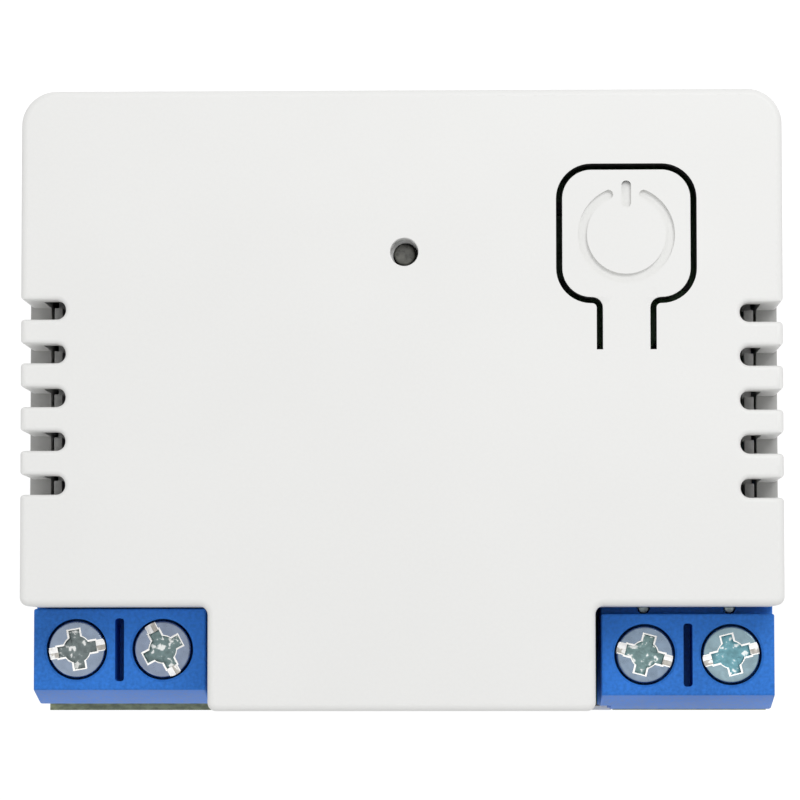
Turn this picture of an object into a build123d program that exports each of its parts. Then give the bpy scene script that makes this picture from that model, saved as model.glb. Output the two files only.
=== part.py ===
from build123d import *
import os
from math import hypot

# A radio-controlled mains relay in a small two-part case, made as an assembly of separate pieces.
# Sizes are millimetres. Z is up, the wire terminals face -Y and the button lies towards +Y.
# The origin is under the middle of the case, on the surface that it stands on.

# Case
case_width = 43.4
case_depth = 35.4
case_height = 20.0
wall = 1.2
top_thickness = 1.3
floor_thickness = 1.5
back_corner_radius = 2.0
front_corner_radius = 0.5
top_edge_radius = 0.4
bay_depth = 5.96

# Clearances between pieces
board_gap = 0.2
lip_gap = 0.15
bay_gap = 0.2
seat_gap = 0.05
pin_gap = 0.1
fit_gap = 0.02
piece_gap = 0.6
top_gap = 1.5

# Vents in the side edges of the cover
vent_count = 5
vent_pitch = 2.5
vent_width = 1.1
left_vent_reach = 2.58
right_vent_reach = 2.46
vent_depth = 5.0
vent_edge = 0.2
left_vent_middle_y = 0.15
right_vent_middle_y = -0.09

# Base
solder_space = 1.7
lip_thickness = 1.0
bay_floor_setback = 0.4
tab_width = 1.35
tab_thickness = 0.25
tab_gap = 0.1
base_edge_chamfer = 0.3
post_diameter = 2.4
post_pin_diameter = 1.4
post_pin_height = 0.25
sill_thickness = 1.0

# Power board
board_thickness = 1.6
board_front_overhang = 0.12
board_bay_setback = 0.03
solder_length = 1.2

# Terminal blocks
pole_pitch = 5.0
block_side_gap = 0.22
nose_gap = 0.48
left_block_setback = 0.35
right_block_setback = 0.02
block_height = 10.0
block_front = 3.18
block_back = 4.55
block_flat_front = 2.34
block_flat_back = 2.35
block_slope_drop = 3.4
block_step_drop = 1.5
block_slot_width = 0.53
block_slot_length = 3.65
block_slot_depth = 3.0
block_slot_forward = 0.03
corner_notch_width = 0.62
corner_notch_depth = 0.2
probe_hole_diameter = 0.72
probe_hole_depth = 1.0
chamber_width = 3.9
chamber_back = 2.1
chamber_front = 2.1
chamber_floor = 0.5
chamber_top = 8.0
entry_width = 3.2
entry_floor = 0.9
entry_height = 3.4
entry_flare = 0.3
ledge_hole_diameter = 2.8

# Terminal screws, rising cages and contact bars
head_diameter = 3.3
head_height = 1.45
head_gap = 0.12
head_below_top = 0.12
head_chamfer = 0.15
shank_diameter = 2.5
drive_slot_width = 0.55
drive_cross_width = 0.65
drive_cross_reach = 1.15
drive_depth = 0.7
screw_angles = (10.0, 118.0, -15.0, 14.0)
cage_width = 3.7
cage_depth = 4.0
cage_side = 0.5
cage_floor = 0.6
cage_roof = 0.9
cage_lift_gap = 0.1
cage_thread_gap = 0.05
wire_space = 2.5
bar_width = 2.3
bar_thickness = 0.7
bar_front = 1.8
bar_leg_back = 2.95
bar_pin_width = 1.0

# Lines and heights of the case. Inside, widths and places are in hundredths of the room's width
# and depth, so that the pieces keep their order when the case changes its size.
half_width = case_width / 2
half_depth = case_depth / 2
inner_half_width = half_width - wall
inner_half_depth = half_depth - wall
wide = 2 * inner_half_width / 100
deep = 2 * inner_half_depth / 100
block_x = half_width - block_side_gap - pole_pitch
half_nose = block_x - pole_pitch - nose_gap
nose_wide = 2 * (half_nose - wall) / 100
bay_line = bay_depth - half_depth
left_screw_y = left_block_setback + block_front - half_depth
right_screw_y = right_block_setback + block_front - half_depth
bay_back = max(left_screw_y, right_screw_y) + block_back + bay_gap
ceiling = case_height - top_thickness
board_bottom = floor_thickness + solder_space
board_top = board_bottom + board_thickness
board_front = -half_depth - board_front_overhang
pin_bottom = board_bottom - solder_length
room_height = ceiling - board_top
bay_top = board_top + block_height - block_step_drop + bay_gap
cage_inner_height = wire_space + bar_thickness + cage_lift_gap
cage_height = cage_floor + cage_inner_height + cage_roof
cage_bottom = chamber_floor + cage_lift_gap
bar_bottom = cage_bottom + cage_floor + wire_space
bar_top = bar_bottom + bar_thickness

# Button tongue, cut free of the cover by one narrow slot
tongue_x = 31.27 * wide
tongue_slot = 0.35
pad_width = 7.29
pad_length = 7.28
pad_corner_radius = 1.65
neck_width = 2.7
neck_length = 2.98
neck_root_y = 8.45 * deep
neck_thickness = 0.9
shoulder_radius = 0.6
boss_diameter = 2.4
boss_tip_radius = 0.5
boss_gap = 0.05
press_y = neck_root_y + neck_length + pad_length / 2

# Status light
led_x = 0.19
led_y = 25.4 * deep
led_length = 1.6
led_width = 0.8
led_base_height = 0.3
led_height = 0.7
led_lens_length = 1.1
led_hole_diameter = 1.6
led_air = 0.3
light_pipe_gap = 0.05
light_pipe_recess = 1.35
light_pipe_flange_diameter = 2.6
light_pipe_flange_height = 0.6
light_pipe_top = case_height - light_pipe_recess
light_pipe_diameter = led_hole_diameter - 2 * light_pipe_gap
collar_wall = 0.6
collar_height = 1.6

# Ribs of the cover that hold the power board down
rib_thickness = 1.0
rib_reach = 1.0
side_rib_y = 38.2 * deep
back_rib_x = 34.2 * wide
nose_rib_x = 45.0 * nose_wide

# Snap hooks of the base and their pockets in the cover, and the posts that locate the boards
hook_bay_distance = 2.33
hook_places = (bay_back + hook_bay_distance, 26.0 * deep)
hook_width = 3.0
hook_thickness = 1.0
hook_height = 6.5
barb_reach = 0.5
barb_height = 1.2
pocket_gap = 0.15
pocket_depth = 0.55
back_post_x = 43.7 * wide
back_post_y = 42.4 * deep
nose_post_distance = 1.5
nose_post_y = nose_post_distance - inner_half_depth
post_places = ((-back_post_x, back_post_y), (back_post_x, back_post_y),
               (-32.8 * nose_wide, nose_post_y), (0.0, nose_post_y))

# Radio board, hung under the ceiling on two pin headers
board_drop = 5.7
radio_board_thickness = 1.0
radio_board_left = -7.3 * wide
radio_board_right = inner_half_width - rib_reach - piece_gap
radio_board_front = 3.6 * deep
radio_board_back = inner_half_depth - rib_reach - pin_gap
radio_top = ceiling - board_drop
radio_bottom = radio_top - radio_board_thickness

# Relay
relay_x = -33.7 * wide
relay_front_y = left_screw_y + block_back + piece_gap
relay_length = 62.0 * deep
relay_width = 24.9 * wide
relay_height = room_height - top_gap
relay_wall = 0.6
relay_standoff = 0.3
relay_base_thickness = 1.5
relay_foot_diameter = 1.0
bobbin_wall = 0.8
bobbin_side_gap = 0.4
bobbin_width = relay_width - 2 * relay_wall - 2 * bobbin_side_gap
bobbin_length = 0.39 * relay_length
bobbin_lug = 0.083 * relay_length
winding_margin = 0.4
winding_diameter = min(bobbin_width, bobbin_length) - winding_margin
yoke_margin = 1.2
yoke_width = bobbin_width - yoke_margin
yoke_thickness = 1.0
yoke_front = 0.43 * relay_length
yoke_back = 0.9 * relay_length
yoke_headroom = 4.0
yoke_height = relay_height - yoke_headroom
core_y = 0.615 * relay_length
core_diameter = 2.8
pole_diameter = 5.2
pole_thickness = 0.4
pole_air = 0.4
armature_margin = 0.2
armature_width = yoke_width - armature_margin
armature_thickness = 0.9
armature_length = 0.43 * relay_length
armature_overhang = 0.3
leaf_width = 3.8
leaf_thickness = 0.25
leaf_front = 0.165 * relay_length
leaf_back = 0.79 * relay_length
rivet_diameter = 1.2
rivet_height = 0.2
contact_y = 0.245 * relay_length
contact_diameter = 2.4
contact_height = 0.6
contact_air = 0.65
strip_width = 4.0
strip_thickness = 0.5
strip_length = 0.195 * relay_length
hinge_spring_start = 3.0
relay_pin_width = 1.0
relay_pin_thickness = 0.5
coil_pin_y = 0.375 * relay_length
coil_pin_margin = 2.4
coil_pin_spread = bobbin_width - coil_pin_margin
common_pin_y = 0.78 * relay_length
common_pin_margin = 1.8
common_pin_spread = yoke_width - common_pin_margin
yoke_bottom = relay_standoff + relay_base_thickness
yoke_top = yoke_bottom + yoke_height
armature_bottom = yoke_top + seat_gap
pole_top = armature_bottom - pole_air
bobbin_bottom = yoke_bottom + yoke_thickness
bobbin_top = pole_top - pole_thickness
core_hole_diameter = core_diameter + 2 * fit_gap
bobbin_hub_diameter = core_hole_diameter + 2 * bobbin_wall
armature_top = armature_bottom + armature_thickness
armature_front = yoke_back - armature_length
leaf_top = armature_top + leaf_thickness
fixed_contact_top = armature_top - contact_height - contact_air
strip_top = fixed_contact_top - contact_height

# Parts of the power supply
lead_diameter = 0.6
part_stand = 0.4
capacitor_diameter = min(40.4 * nose_wide, 24.2 * deep)
capacitor_headroom = 2.0
capacitor_height = room_height - part_stand - capacitor_headroom
capacitor_lead_pitch = 3.5
capacitor_groove_low = 1.4
capacitor_groove_high = 2.0
capacitor_front_gap = 0.5
front_capacitor_y = capacitor_front_gap + capacitor_diameter / 2 - inner_half_depth
capacitor_places = ((24.7 * nose_wide, front_capacitor_y), (-7.8 * wide, -12.7 * deep))
inductor_x = 15.1 * wide
inductor_y = -10.9 * deep
inductor_diameter = min(19.0 * wide, 23.6 * deep)
inductor_headroom = 4.5
inductor_height = room_height - part_stand - inductor_headroom
inductor_flange = 1.2
inductor_core_diameter = 3.6
inductor_lead_pitch = 5.0
inductor_winding_gap = 0.35
varistor_x = -27.3 * nose_wide
varistor_front_distance = 4.1
varistor_y = varistor_front_distance - inner_half_depth
varistor_diameter = min(35.4 * nose_wide, room_height / 2)
varistor_thickness = 3.6
varistor_lead_pitch = 5.0
fuse_x = 31.5 * wide
fuse_y = -10.9 * deep
fuse_diameter = 7.8 * wide
fuse_length = 24.2 * deep
fuse_lead_reach = 1.1
output_capacitor_x = 32.2 * wide
output_capacitor_y = 31.5 * deep
output_capacitor_diameter = min(15.4 * wide, 19.1 * deep)
output_capacitor_headroom = 1.6
output_capacitor_height = radio_bottom - board_top - output_capacitor_headroom
output_capacitor_base = 1.0
output_capacitor_skirt = 0.15

# Small moulded chips: body length and height, leg pitch, width and reach
chip_stand = 0.1
chip_leg_thickness = 0.2
bridge_x = 42.0 * wide
bridge_y = -9.1 * deep
bridge_width = 9.27 * wide
bridge_length = 4.7
bridge_height = 2.4
bridge_leg_pitch = 2.5
bridge_leg_width = 0.6
small_leg_reach = 0.55
regulator_x = 8.0 * wide
regulator_y = 27.3 * deep
memory_x = 0.9 * wide
memory_y = 12.7 * deep
outline_width = 3.9
outline_length = 4.9
outline_height = 1.6
outline_leg_pitch = 1.27
outline_leg_width = 0.42
outline_leg_reach = 1.0
driver_x = -5.0 * wide
driver_y = 28.0 * deep
driver_width = 1.3
driver_length = 2.9
driver_height = 1.0
driver_leg_pitch = 1.9
driver_leg_width = 0.4

# Pin headers between the boards
header_x = 24.4 * wide
header_y = 10.3 * deep
header_count = 6
header_pitch = 2.0
header_body_height = 2.5
header_pin_size = 0.5
header_pin_rise = 0.6
support_header_x = -3.0 * wide
support_header_y = 42.0 * deep
support_header_count = 2

# Parts of the radio board
radio_chip_x = 12.2 * wide
radio_chip_y = 31.0 * deep
radio_chip_size = min(12.2 * wide, 15.1 * deep)
radio_chip_height = 0.9
radio_chip_bevel = 0.1
crystal_x = 14.5 * wide
crystal_y = 18.8 * deep
crystal_length = 3.2
crystal_width = 2.5
crystal_base_height = 0.45
crystal_height = 0.8
crystal_rim = 0.2
crystal_corner = 0.3
antenna_x = 11.2 * wide
antenna_back_distance = 1.2
antenna_y = radio_board_back - antenna_back_distance
antenna_length = 7.0
antenna_width = 2.0
antenna_height = 1.2
antenna_cap_length = 0.7
antenna_cap_skirt = 0.1
tact_width = 6.0
tact_height = 3.5
tact_corner = 0.4
tact_cavity_diameter = 3.6
tact_cavity_depth = 2.4
tact_foot_pitch = 4.5
tact_foot_width = 0.7
tact_foot_height = 0.3
tact_foot_reach = 0.9
tact_foot_root = 0.2
tact_top = radio_top + tact_height
plunger_diameter = 3.4
plunger_rise = 0.6
plunger_length = 2.2
plunger_chamfer = 0.15
plunger_top = tact_top + plunger_rise
dome_thickness = 0.12
dome_rise = 0.3


def slab(x0, x1, y0, y1, z0, z1):
    """A box between two opposite corners."""
    return Pos((x0 + x1) / 2, (y0 + y1) / 2, (z0 + z1) / 2) * Box(x1 - x0, y1 - y0, z1 - z0)


def post(x, y, z0, z1, diameter):
    """An upright round bar between two heights."""
    return Pos(x, y, (z0 + z1) / 2) * Cylinder(diameter / 2, z1 - z0)


def rectangle(x0, x1, y0, y1):
    """A flat rectangle between two opposite corners."""
    return Pos((x0 + x1) / 2, (y0 + y1) / 2) * Rectangle(x1 - x0, y1 - y0)


def side_profile(points, width):
    """A profile drawn in the YZ plane and given an equal width to both sides of X = 0."""
    face = Plane.YZ * make_face(Polyline(*points, close=True))
    return extrude(face, amount=width / 2, both=True)


def row(count, pitch):
    """Positions of a row of equal steps about zero."""
    return [(i - (count - 1) / 2) * pitch for i in range(count)]


def case_outline(inset=0.0, shoulder_y=bay_line, round_nose=True):
    """The T-shaped plan of the case: a full-width back and a narrower nose between the bays."""
    side = half_width - inset
    back = half_depth - inset
    shoulder = shoulder_y + inset
    nose = half_nose - inset
    front = inset - half_depth
    corners = [(-side, back), (side, back), (side, shoulder), (nose, shoulder), (nose, front)]
    corners += [(-nose, front), (-nose, shoulder), (-side, shoulder)]
    face = make_face(Polyline(*corners, close=True))
    back_corners = face.vertices().group_by(Axis.Y)[-1]
    face = fillet(back_corners, max(back_corner_radius - inset, front_corner_radius))
    low_corners = [v for v in face.vertices() if v.Y < shoulder + seat_gap]
    if not round_nose:
        low_corners = [v for v in low_corners if abs(v.X) > nose + seat_gap]
    return fillet(low_corners, front_corner_radius)


def tongue_outline(grow=0.0):
    """Plan of the button tongue, or with grow, of the window that it moves in."""
    pad = RectangleRounded(pad_width + 2 * grow, pad_length + 2 * grow, pad_corner_radius + grow)
    neck_half = neck_width / 2 + grow
    neck = rectangle(-neck_half, neck_half, neck_root_y, press_y)
    outline = Pos(0, press_y) * pad + neck
    shoulder_y = neck_root_y + neck_length - grow
    shoulders = outline.vertices().filter_by(
        lambda v: abs(v.Y - shoulder_y) < fit_gap and abs(v.X) < neck_half + fit_gap)
    return Pos(tongue_x, 0) * fillet(shoulders, shoulder_radius - grow)


def vent_cutter(side, y):
    """One vent: a slot from the outer face inwards, round at its inner end, with eased edges."""
    reach = right_vent_reach if side > 0 else left_vent_reach
    inner = half_width - reach + vent_width / 2
    outer = half_width + wall

    def plan(radius):
        return rectangle(inner, outer, -radius, radius) + Pos(inner, 0) * Circle(radius)

    slot = extrude(plan(vent_width / 2), amount=vent_depth, dir=(0, 0, -1))
    mouth = extrude(plan(vent_width / 2 + vent_edge), amount=vent_edge, dir=(0, 0, -1), taper=45)
    cutter = Pos(0, y, case_height) * (slot + mouth)
    return cutter if side > 0 else mirror(cutter, Plane.YZ)


def top_cover():
    """Moulded cover: a T-shaped shell with vents, button window, light hole, ribs and pockets."""
    height = case_height - floor_thickness
    outer = Pos(0, 0, floor_thickness) * extrude(case_outline(), amount=height)
    rim = outer.faces().sort_by(Axis.Z)[-1].outer_wire().edges()
    cavity = Pos(0, 0, floor_thickness) * extrude(case_outline(wall), amount=height - top_thickness)
    cover = fillet(rim, top_edge_radius) - cavity

    rib_bottom = board_top + seat_gap
    rib_half = rib_thickness / 2
    collar = post(led_x, led_y, ceiling - collar_height, ceiling,
                  light_pipe_flange_diameter + 2 * light_pipe_gap + 2 * collar_wall)
    cover += collar
    for side in (-1, 1):
        x = side * inner_half_width
        tip = side * (inner_half_width - rib_reach)
        cover += slab(min(x, tip), max(x, tip), side_rib_y - rib_half, side_rib_y + rib_half,
                      rib_bottom, ceiling)
        x = side * back_rib_x
        cover += slab(x - rib_half, x + rib_half, inner_half_depth - rib_reach, inner_half_depth,
                      rib_bottom, ceiling)
        x = side * nose_rib_x
        cover += slab(x - rib_half, x + rib_half, -inner_half_depth, rib_reach - inner_half_depth,
                      rib_bottom, ceiling)

    for side in (-1, 1):
        edges = sorted((side * half_nose, side * (half_width + wall)))
        cover -= slab(*edges, -half_depth - wall, bay_back, 0, bay_top)
        edges = sorted((side * (half_nose - wall - front_corner_radius), side * half_nose))
        cover -= slab(*edges, -inner_half_depth, bay_back, 0, rib_bottom + lip_gap)
        pocket_half = hook_width / 2 + pocket_gap
        barb_top = floor_thickness + hook_height - pocket_gap
        edges = sorted((side * inner_half_width, side * (inner_half_width + pocket_depth)))
        for y in hook_places:
            cover -= slab(*edges, y - pocket_half, y + pocket_half,
                          barb_top - barb_height - pocket_gap, barb_top + 2 * pocket_gap)
        vent_middle_y = right_vent_middle_y if side > 0 else left_vent_middle_y
        for offset in row(vent_count, vent_pitch):
            cover -= vent_cutter(side, vent_middle_y + offset)

    cover -= Pos(0, 0, ceiling) * extrude(tongue_outline(tongue_slot), amount=top_thickness)
    cover -= post(led_x, led_y, ceiling, case_height, led_hole_diameter)
    cover -= post(led_x, led_y, ceiling - collar_height, ceiling,
                  light_pipe_flange_diameter + 2 * light_pipe_gap)
    return cover


def button_tongue():
    """Springy tongue of the cover: a thin neck, a pad, and the boss that presses the switch."""
    pad = Pos(0, 0, ceiling) * extrude(tongue_outline(), amount=top_thickness)
    neck_top = case_height - neck_thickness
    relief = slab(tongue_x - pad_width, tongue_x + pad_width, neck_root_y - neck_length,
                  neck_root_y + neck_length, ceiling, neck_top)
    tip = plunger_top + boss_gap
    boss = post(tongue_x, press_y, tip, ceiling, boss_diameter)
    boss = fillet(boss.edges().sort_by(Axis.Z)[0], boss_tip_radius)
    return pad - relief + boss


def base_plate():
    """Snap-in base: floor, locating lip, four hooks, board posts and a small front tab."""
    floor_plan = case_outline(0, bay_floor_setback - half_depth, round_nose=False)
    floor = extrude(floor_plan, amount=floor_thickness)
    floor = chamfer(floor.faces().sort_by(Axis.Z)[0].outer_wire().edges(), base_edge_chamfer)
    lip_inset = wall + lip_gap
    ring = case_outline(lip_inset) - case_outline(lip_inset + lip_thickness)
    base = floor + Pos(0, 0, floor_thickness) * extrude(ring, amount=solder_space)

    hook_outer = inner_half_width - lip_gap
    hook_inner = hook_outer - hook_thickness
    hook_top = floor_thickness + hook_height
    barb_bottom = hook_top - barb_height
    hook_profile = make_face(Polyline(
        (hook_inner, floor_thickness), (hook_outer, floor_thickness), (hook_outer, barb_bottom),
        (hook_outer + barb_reach, barb_bottom + pocket_gap), (hook_outer, hook_top),
        (hook_inner, hook_top), close=True))
    hook = extrude(Plane.XZ * hook_profile, amount=hook_width / 2, both=True)
    for y in hook_places:
        base += Pos(0, y, 0) * hook
        base += mirror(Pos(0, y, 0) * hook, Plane.YZ)

    for x, y in post_places:
        base += post(x, y, floor_thickness, board_bottom, post_diameter)
        base += post(x, y, board_bottom, board_top + post_pin_height, post_pin_diameter)
    sill_front = bay_floor_setback - half_depth
    for side in (-1, 1):
        edges = sorted((side * half_nose, side * half_width))
        sill = slab(*edges, sill_front, bay_back - board_gap, floor_thickness, board_bottom)
        sill = fillet(sill.edges().filter_by(Axis.Z).group_by(Axis.Y)[0], front_corner_radius)
        edges = sorted((side * (half_nose - wall), side * (half_width - sill_thickness)))
        base += sill - slab(*edges, sill_front + sill_thickness, bay_back, 0, board_bottom)
    tab_end = half_nose + tab_width
    tab_back = board_front + tab_thickness
    base += slab(half_nose, tab_end, board_front, sill_front + sill_thickness,
                 base_edge_chamfer, board_bottom - tab_gap)
    base += slab(half_nose, tab_end, board_front, tab_back, base_edge_chamfer, board_top - seat_gap)
    return base


def terminal_poles():
    """Place of every screw axis, from the left of the case to its right, with its block's side."""
    poles = []
    for side, screw_y in ((-1, left_screw_y), (1, right_screw_y)):
        for offset in row(2, pole_pitch):
            poles.append((side * block_x + offset, screw_y, side))
    return poles


def bar_pin_y(screw_y):
    """The middle of a contact bar's upright leg, which goes on down through the board."""
    return screw_y + bar_leg_back - bar_thickness / 2


def power_board_pins():
    """Every pin that goes through the power board: its place and the diagonal of its section."""
    bar_pin = hypot(bar_pin_width, bar_thickness)
    relay_pin = hypot(relay_pin_width, relay_pin_thickness)
    header_pin = hypot(header_pin_size, header_pin_size)
    pins = [(x, bar_pin_y(y), bar_pin) for x, y, _ in terminal_poles()]
    for offset in row(2, coil_pin_spread):
        pins.append((relay_x + offset, relay_front_y + coil_pin_y, header_pin))
    for offset in row(2, common_pin_spread):
        pins.append((relay_x + offset, relay_front_y + common_pin_y, relay_pin))
    strip_y = relay_front_y + contact_y - strip_length / 2 - strip_thickness / 2
    for offset in row(2, strip_width - relay_pin_width):
        pins.append((relay_x + offset, strip_y, relay_pin))
    for x, y in header_pin_places():
        pins.append((x, y, header_pin))
    for x, y in capacitor_places:
        pins += [(x + offset, y, lead_diameter) for offset in row(2, capacitor_lead_pitch)]
    pins += [(inductor_x + d, inductor_y, lead_diameter) for d in row(2, inductor_lead_pitch)]
    pins += [(varistor_x + d, varistor_y, lead_diameter) for d in row(2, varistor_lead_pitch)]
    fuse_span = fuse_length + 2 * fuse_lead_reach
    pins += [(fuse_x, fuse_y + d, lead_diameter) for d in row(2, fuse_span)]
    return pins


def header_pin_places():
    """Pins that join the two boards: one working row and two support pins at the far corner."""
    main_row = [(header_x + d, header_y) for d in row(header_count, header_pitch)]
    support = [(support_header_x + d, support_header_y)
               for d in row(support_header_count, header_pitch)]
    return main_row + support


def power_board():
    """Lower circuit board, wide under the terminal blocks and notched round the hooks."""
    side = inner_half_width - board_gap
    back = inner_half_depth - board_gap
    step_y = bay_back - board_gap
    body = rectangle(-side, side, step_y, back)
    body = fillet(body.vertices().group_by(Axis.Y)[-1], back_corner_radius - wall)
    bay_side = half_width - board_bay_setback
    outline = body + rectangle(-bay_side, bay_side, board_front, step_y)
    nose_side = half_nose + board_gap
    outline -= rectangle(-nose_side, nose_side, board_front, board_gap - inner_half_depth)
    outline -= rectangle(0, half_nose + tab_width + tab_gap, board_front,
                         board_front + tab_thickness + tab_gap)
    notch_half = hook_width / 2 + pocket_gap
    notch_x = inner_half_width - lip_gap - hook_thickness - pocket_gap
    for y in hook_places:
        for edge in (-1, 1):
            span = sorted((edge * notch_x, edge * half_width))
            outline -= rectangle(*span, y - notch_half, y + notch_half)
    for x, y in post_places:
        outline -= Pos(x, y) * Circle(post_pin_diameter / 2 + pin_gap)
    for x, y, size in power_board_pins():
        outline -= Pos(x, y) * Circle(size / 2 + pin_gap)
    return Pos(0, 0, board_bottom) * extrude(outline, amount=board_thickness)


def radio_board():
    """Upper circuit board with the receiver, the switch and the status light."""
    outline = rectangle(radio_board_left, radio_board_right, radio_board_front, radio_board_back)
    outline = fillet(outline.vertices(), front_corner_radius)
    hole = hypot(header_pin_size, header_pin_size) / 2 + pin_gap
    for x, y in header_pin_places():
        outline -= Pos(x, y) * Circle(hole)
    return Pos(0, 0, radio_bottom) * extrude(outline, amount=radio_board_thickness)


def terminal_housing(side, screw_y, notched):
    """Two-pole block: sloped front, stepped back, chambers, entries, screw and probe holes."""
    top = block_height
    step_top = block_height - block_step_drop
    body = side_profile([
        (-block_front, 0), (-block_front, top - block_slope_drop), (-block_flat_front, top),
        (block_flat_back, top), (block_flat_back, step_top), (block_back, step_top),
        (block_back, 0)], 2 * pole_pitch)
    body -= slab(-block_slot_width / 2, block_slot_width / 2,
                 -block_slot_forward - block_slot_length / 2,
                 block_slot_length / 2 - block_slot_forward, top - block_slot_depth, top)
    for x in row(2, pole_pitch):
        body -= slab(x - chamber_width / 2, x + chamber_width / 2, -chamber_front, chamber_back,
                     chamber_floor, chamber_top)
        body -= post(x, 0, chamber_top, top, ledge_hole_diameter)
        body -= post(x, 0, top - head_below_top - head_height - seat_gap, top,
                     head_diameter + 2 * head_gap)
        body -= post(x, block_flat_back + probe_hole_diameter / 2, step_top - probe_hole_depth,
                     step_top, probe_hole_diameter)
        entry = slab(x - entry_width / 2, x + entry_width / 2, -block_front, -chamber_front,
                     entry_floor, entry_floor + entry_height)
        body -= entry
        flare = Plane.XZ.offset(block_front) * Pos(x, entry_floor + entry_height / 2) * Rectangle(
            entry_width + 2 * entry_flare, entry_height + 2 * entry_flare)
        body -= extrude(flare, amount=entry_flare, dir=(0, 1, 0), taper=45)
        slot_half = bar_width / 2 + seat_gap
        body -= slab(x - slot_half, x + slot_half, chamber_back, bar_leg_back + seat_gap,
                     0, bar_top + seat_gap)
    if notched:
        body -= slab(-pole_pitch, corner_notch_width - pole_pitch, -block_front,
                     corner_notch_depth - block_front, 0, top)
    return Pos(side * block_x, screw_y, board_top) * body


def terminal_screw(x, screw_y, angle):
    """Clamping screw: a round head with a slot and a cross for either driver, and its shank."""
    top = block_height - head_below_top
    under_head = top - head_height
    head = post(0, 0, under_head, top, head_diameter)
    head = chamfer(head.edges().sort_by(Axis.Z)[-1], head_chamfer)
    screw = head + post(0, 0, bar_top + seat_gap, under_head, shank_diameter)
    drive_floor = top - drive_depth
    screw -= slab(-head_diameter, head_diameter, -drive_slot_width / 2, drive_slot_width / 2,
                  drive_floor, top)
    screw -= slab(-drive_cross_width / 2, drive_cross_width / 2, -drive_cross_reach,
                  drive_cross_reach, drive_floor, top)
    screw -= slab(-drive_cross_reach, drive_cross_reach, -drive_cross_width / 2,
                  drive_cross_width / 2, drive_floor, top)
    return Pos(x, screw_y, board_top) * Rot(0, 0, angle) * screw


def clamp_cage(x, screw_y):
    """Rising cage round the bar: the screw threads through its roof and lifts its floor."""
    half = cage_width / 2
    cage = slab(-half, half, -cage_depth / 2, cage_depth / 2, cage_bottom, cage_bottom + cage_height)
    cage = fillet(cage.edges().filter_by(Axis.Y), cage_side / 2)
    inner_bottom = cage_bottom + cage_floor
    cage -= slab(cage_side - half, half - cage_side, -cage_depth, cage_depth,
                 inner_bottom, inner_bottom + cage_inner_height)
    cage -= post(0, 0, inner_bottom, cage_bottom + cage_height,
                 shank_diameter + 2 * cage_thread_gap)
    return Pos(x, screw_y, board_top) * cage


def contact_bar(x, screw_y):
    """Bar that the wire is clamped under, bent down at its back into the solder pin."""
    leg_front = bar_leg_back - bar_thickness
    bar = side_profile([
        (-bar_front, bar_bottom), (-bar_front, bar_top), (bar_leg_back, bar_top),
        (bar_leg_back, 0), (leg_front, 0), (leg_front, bar_bottom)], bar_width)
    pin = slab(-bar_pin_width / 2, bar_pin_width / 2, leg_front, bar_leg_back,
               pin_bottom - board_top, 0)
    return Pos(x, screw_y, board_top) * (bar + pin)


relay_place = Pos(relay_x, relay_front_y, board_top)


def relay_cover():
    """Moulded cap of the relay, open below, with a softened top edge."""
    half = relay_width / 2
    cap = slab(-half, half, 0, relay_length, relay_standoff, relay_height)
    cap = fillet(cap.edges().filter_by(Axis.Z) + cap.edges().group_by(Axis.Z)[-1], relay_wall / 2)
    cap -= slab(relay_wall - half, half - relay_wall, relay_wall, relay_length - relay_wall,
                relay_standoff, relay_height - relay_wall)
    return relay_place * cap


def relay_base():
    """Plastic floor of the relay, with slots for its pins and four small feet."""
    half = relay_width / 2 - relay_wall - seat_gap
    front = relay_wall + seat_gap
    back = relay_length - relay_wall - seat_gap
    base = slab(-half, half, front, back, relay_standoff, yoke_bottom)
    for x in (-half + relay_foot_diameter, half - relay_foot_diameter):
        for y in (front + relay_foot_diameter, back - relay_foot_diameter):
            base += post(x, y, 0, relay_standoff, relay_foot_diameter)
    for x, y, size in power_board_pins():
        if abs(x - relay_x) < half and front < y - relay_front_y < back:
            base -= post(x - relay_x, y - relay_front_y, relay_standoff, yoke_bottom, size + pin_gap)
    leg_y = contact_y - strip_length / 2
    base -= slab(-strip_width / 2 - seat_gap, strip_width / 2 + seat_gap,
                 leg_y - strip_thickness - seat_gap, leg_y + seat_gap,
                 relay_standoff + relay_base_thickness / 2, yoke_bottom)
    return relay_place * base


def relay_yoke():
    """L-shaped iron frame: the foot carries the core, the upright leg carries the armature."""
    yoke = side_profile([
        (yoke_front, yoke_bottom), (yoke_front, bobbin_bottom),
        (yoke_back - yoke_thickness, bobbin_bottom), (yoke_back - yoke_thickness, yoke_top),
        (yoke_back, yoke_top), (yoke_back, yoke_bottom)], yoke_width)
    yoke -= post(0, core_y, yoke_bottom, bobbin_bottom, core_hole_diameter)
    return relay_place * yoke


def relay_core():
    """Iron core with a wide pole face under the armature."""
    core = post(0, core_y, yoke_bottom, bobbin_top, core_diameter)
    core += post(0, core_y, bobbin_top, pole_top, pole_diameter)
    return relay_place * core


def relay_bobbin():
    """Spool for the winding: two flanges on a hub, with a lug in front for the coil pins."""
    half = bobbin_width / 2
    front = core_y - bobbin_length / 2
    back = core_y + bobbin_length / 2
    bobbin = slab(-half, half, front - bobbin_lug, back, bobbin_bottom, bobbin_bottom + bobbin_wall)
    bobbin += slab(-half, half, front, back, bobbin_top - bobbin_wall, bobbin_top)
    bobbin = fillet(bobbin.edges().filter_by(Axis.Z), front_corner_radius)
    bobbin += post(0, core_y, bobbin_bottom, bobbin_top, bobbin_hub_diameter)
    bobbin -= post(0, core_y, bobbin_bottom, bobbin_top, core_hole_diameter)
    pin_hole = hypot(header_pin_size, header_pin_size) + pin_gap
    for x in row(2, coil_pin_spread):
        bobbin -= post(x, coil_pin_y, bobbin_bottom, bobbin_bottom + bobbin_wall, pin_hole)
    return relay_place * bobbin


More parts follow.
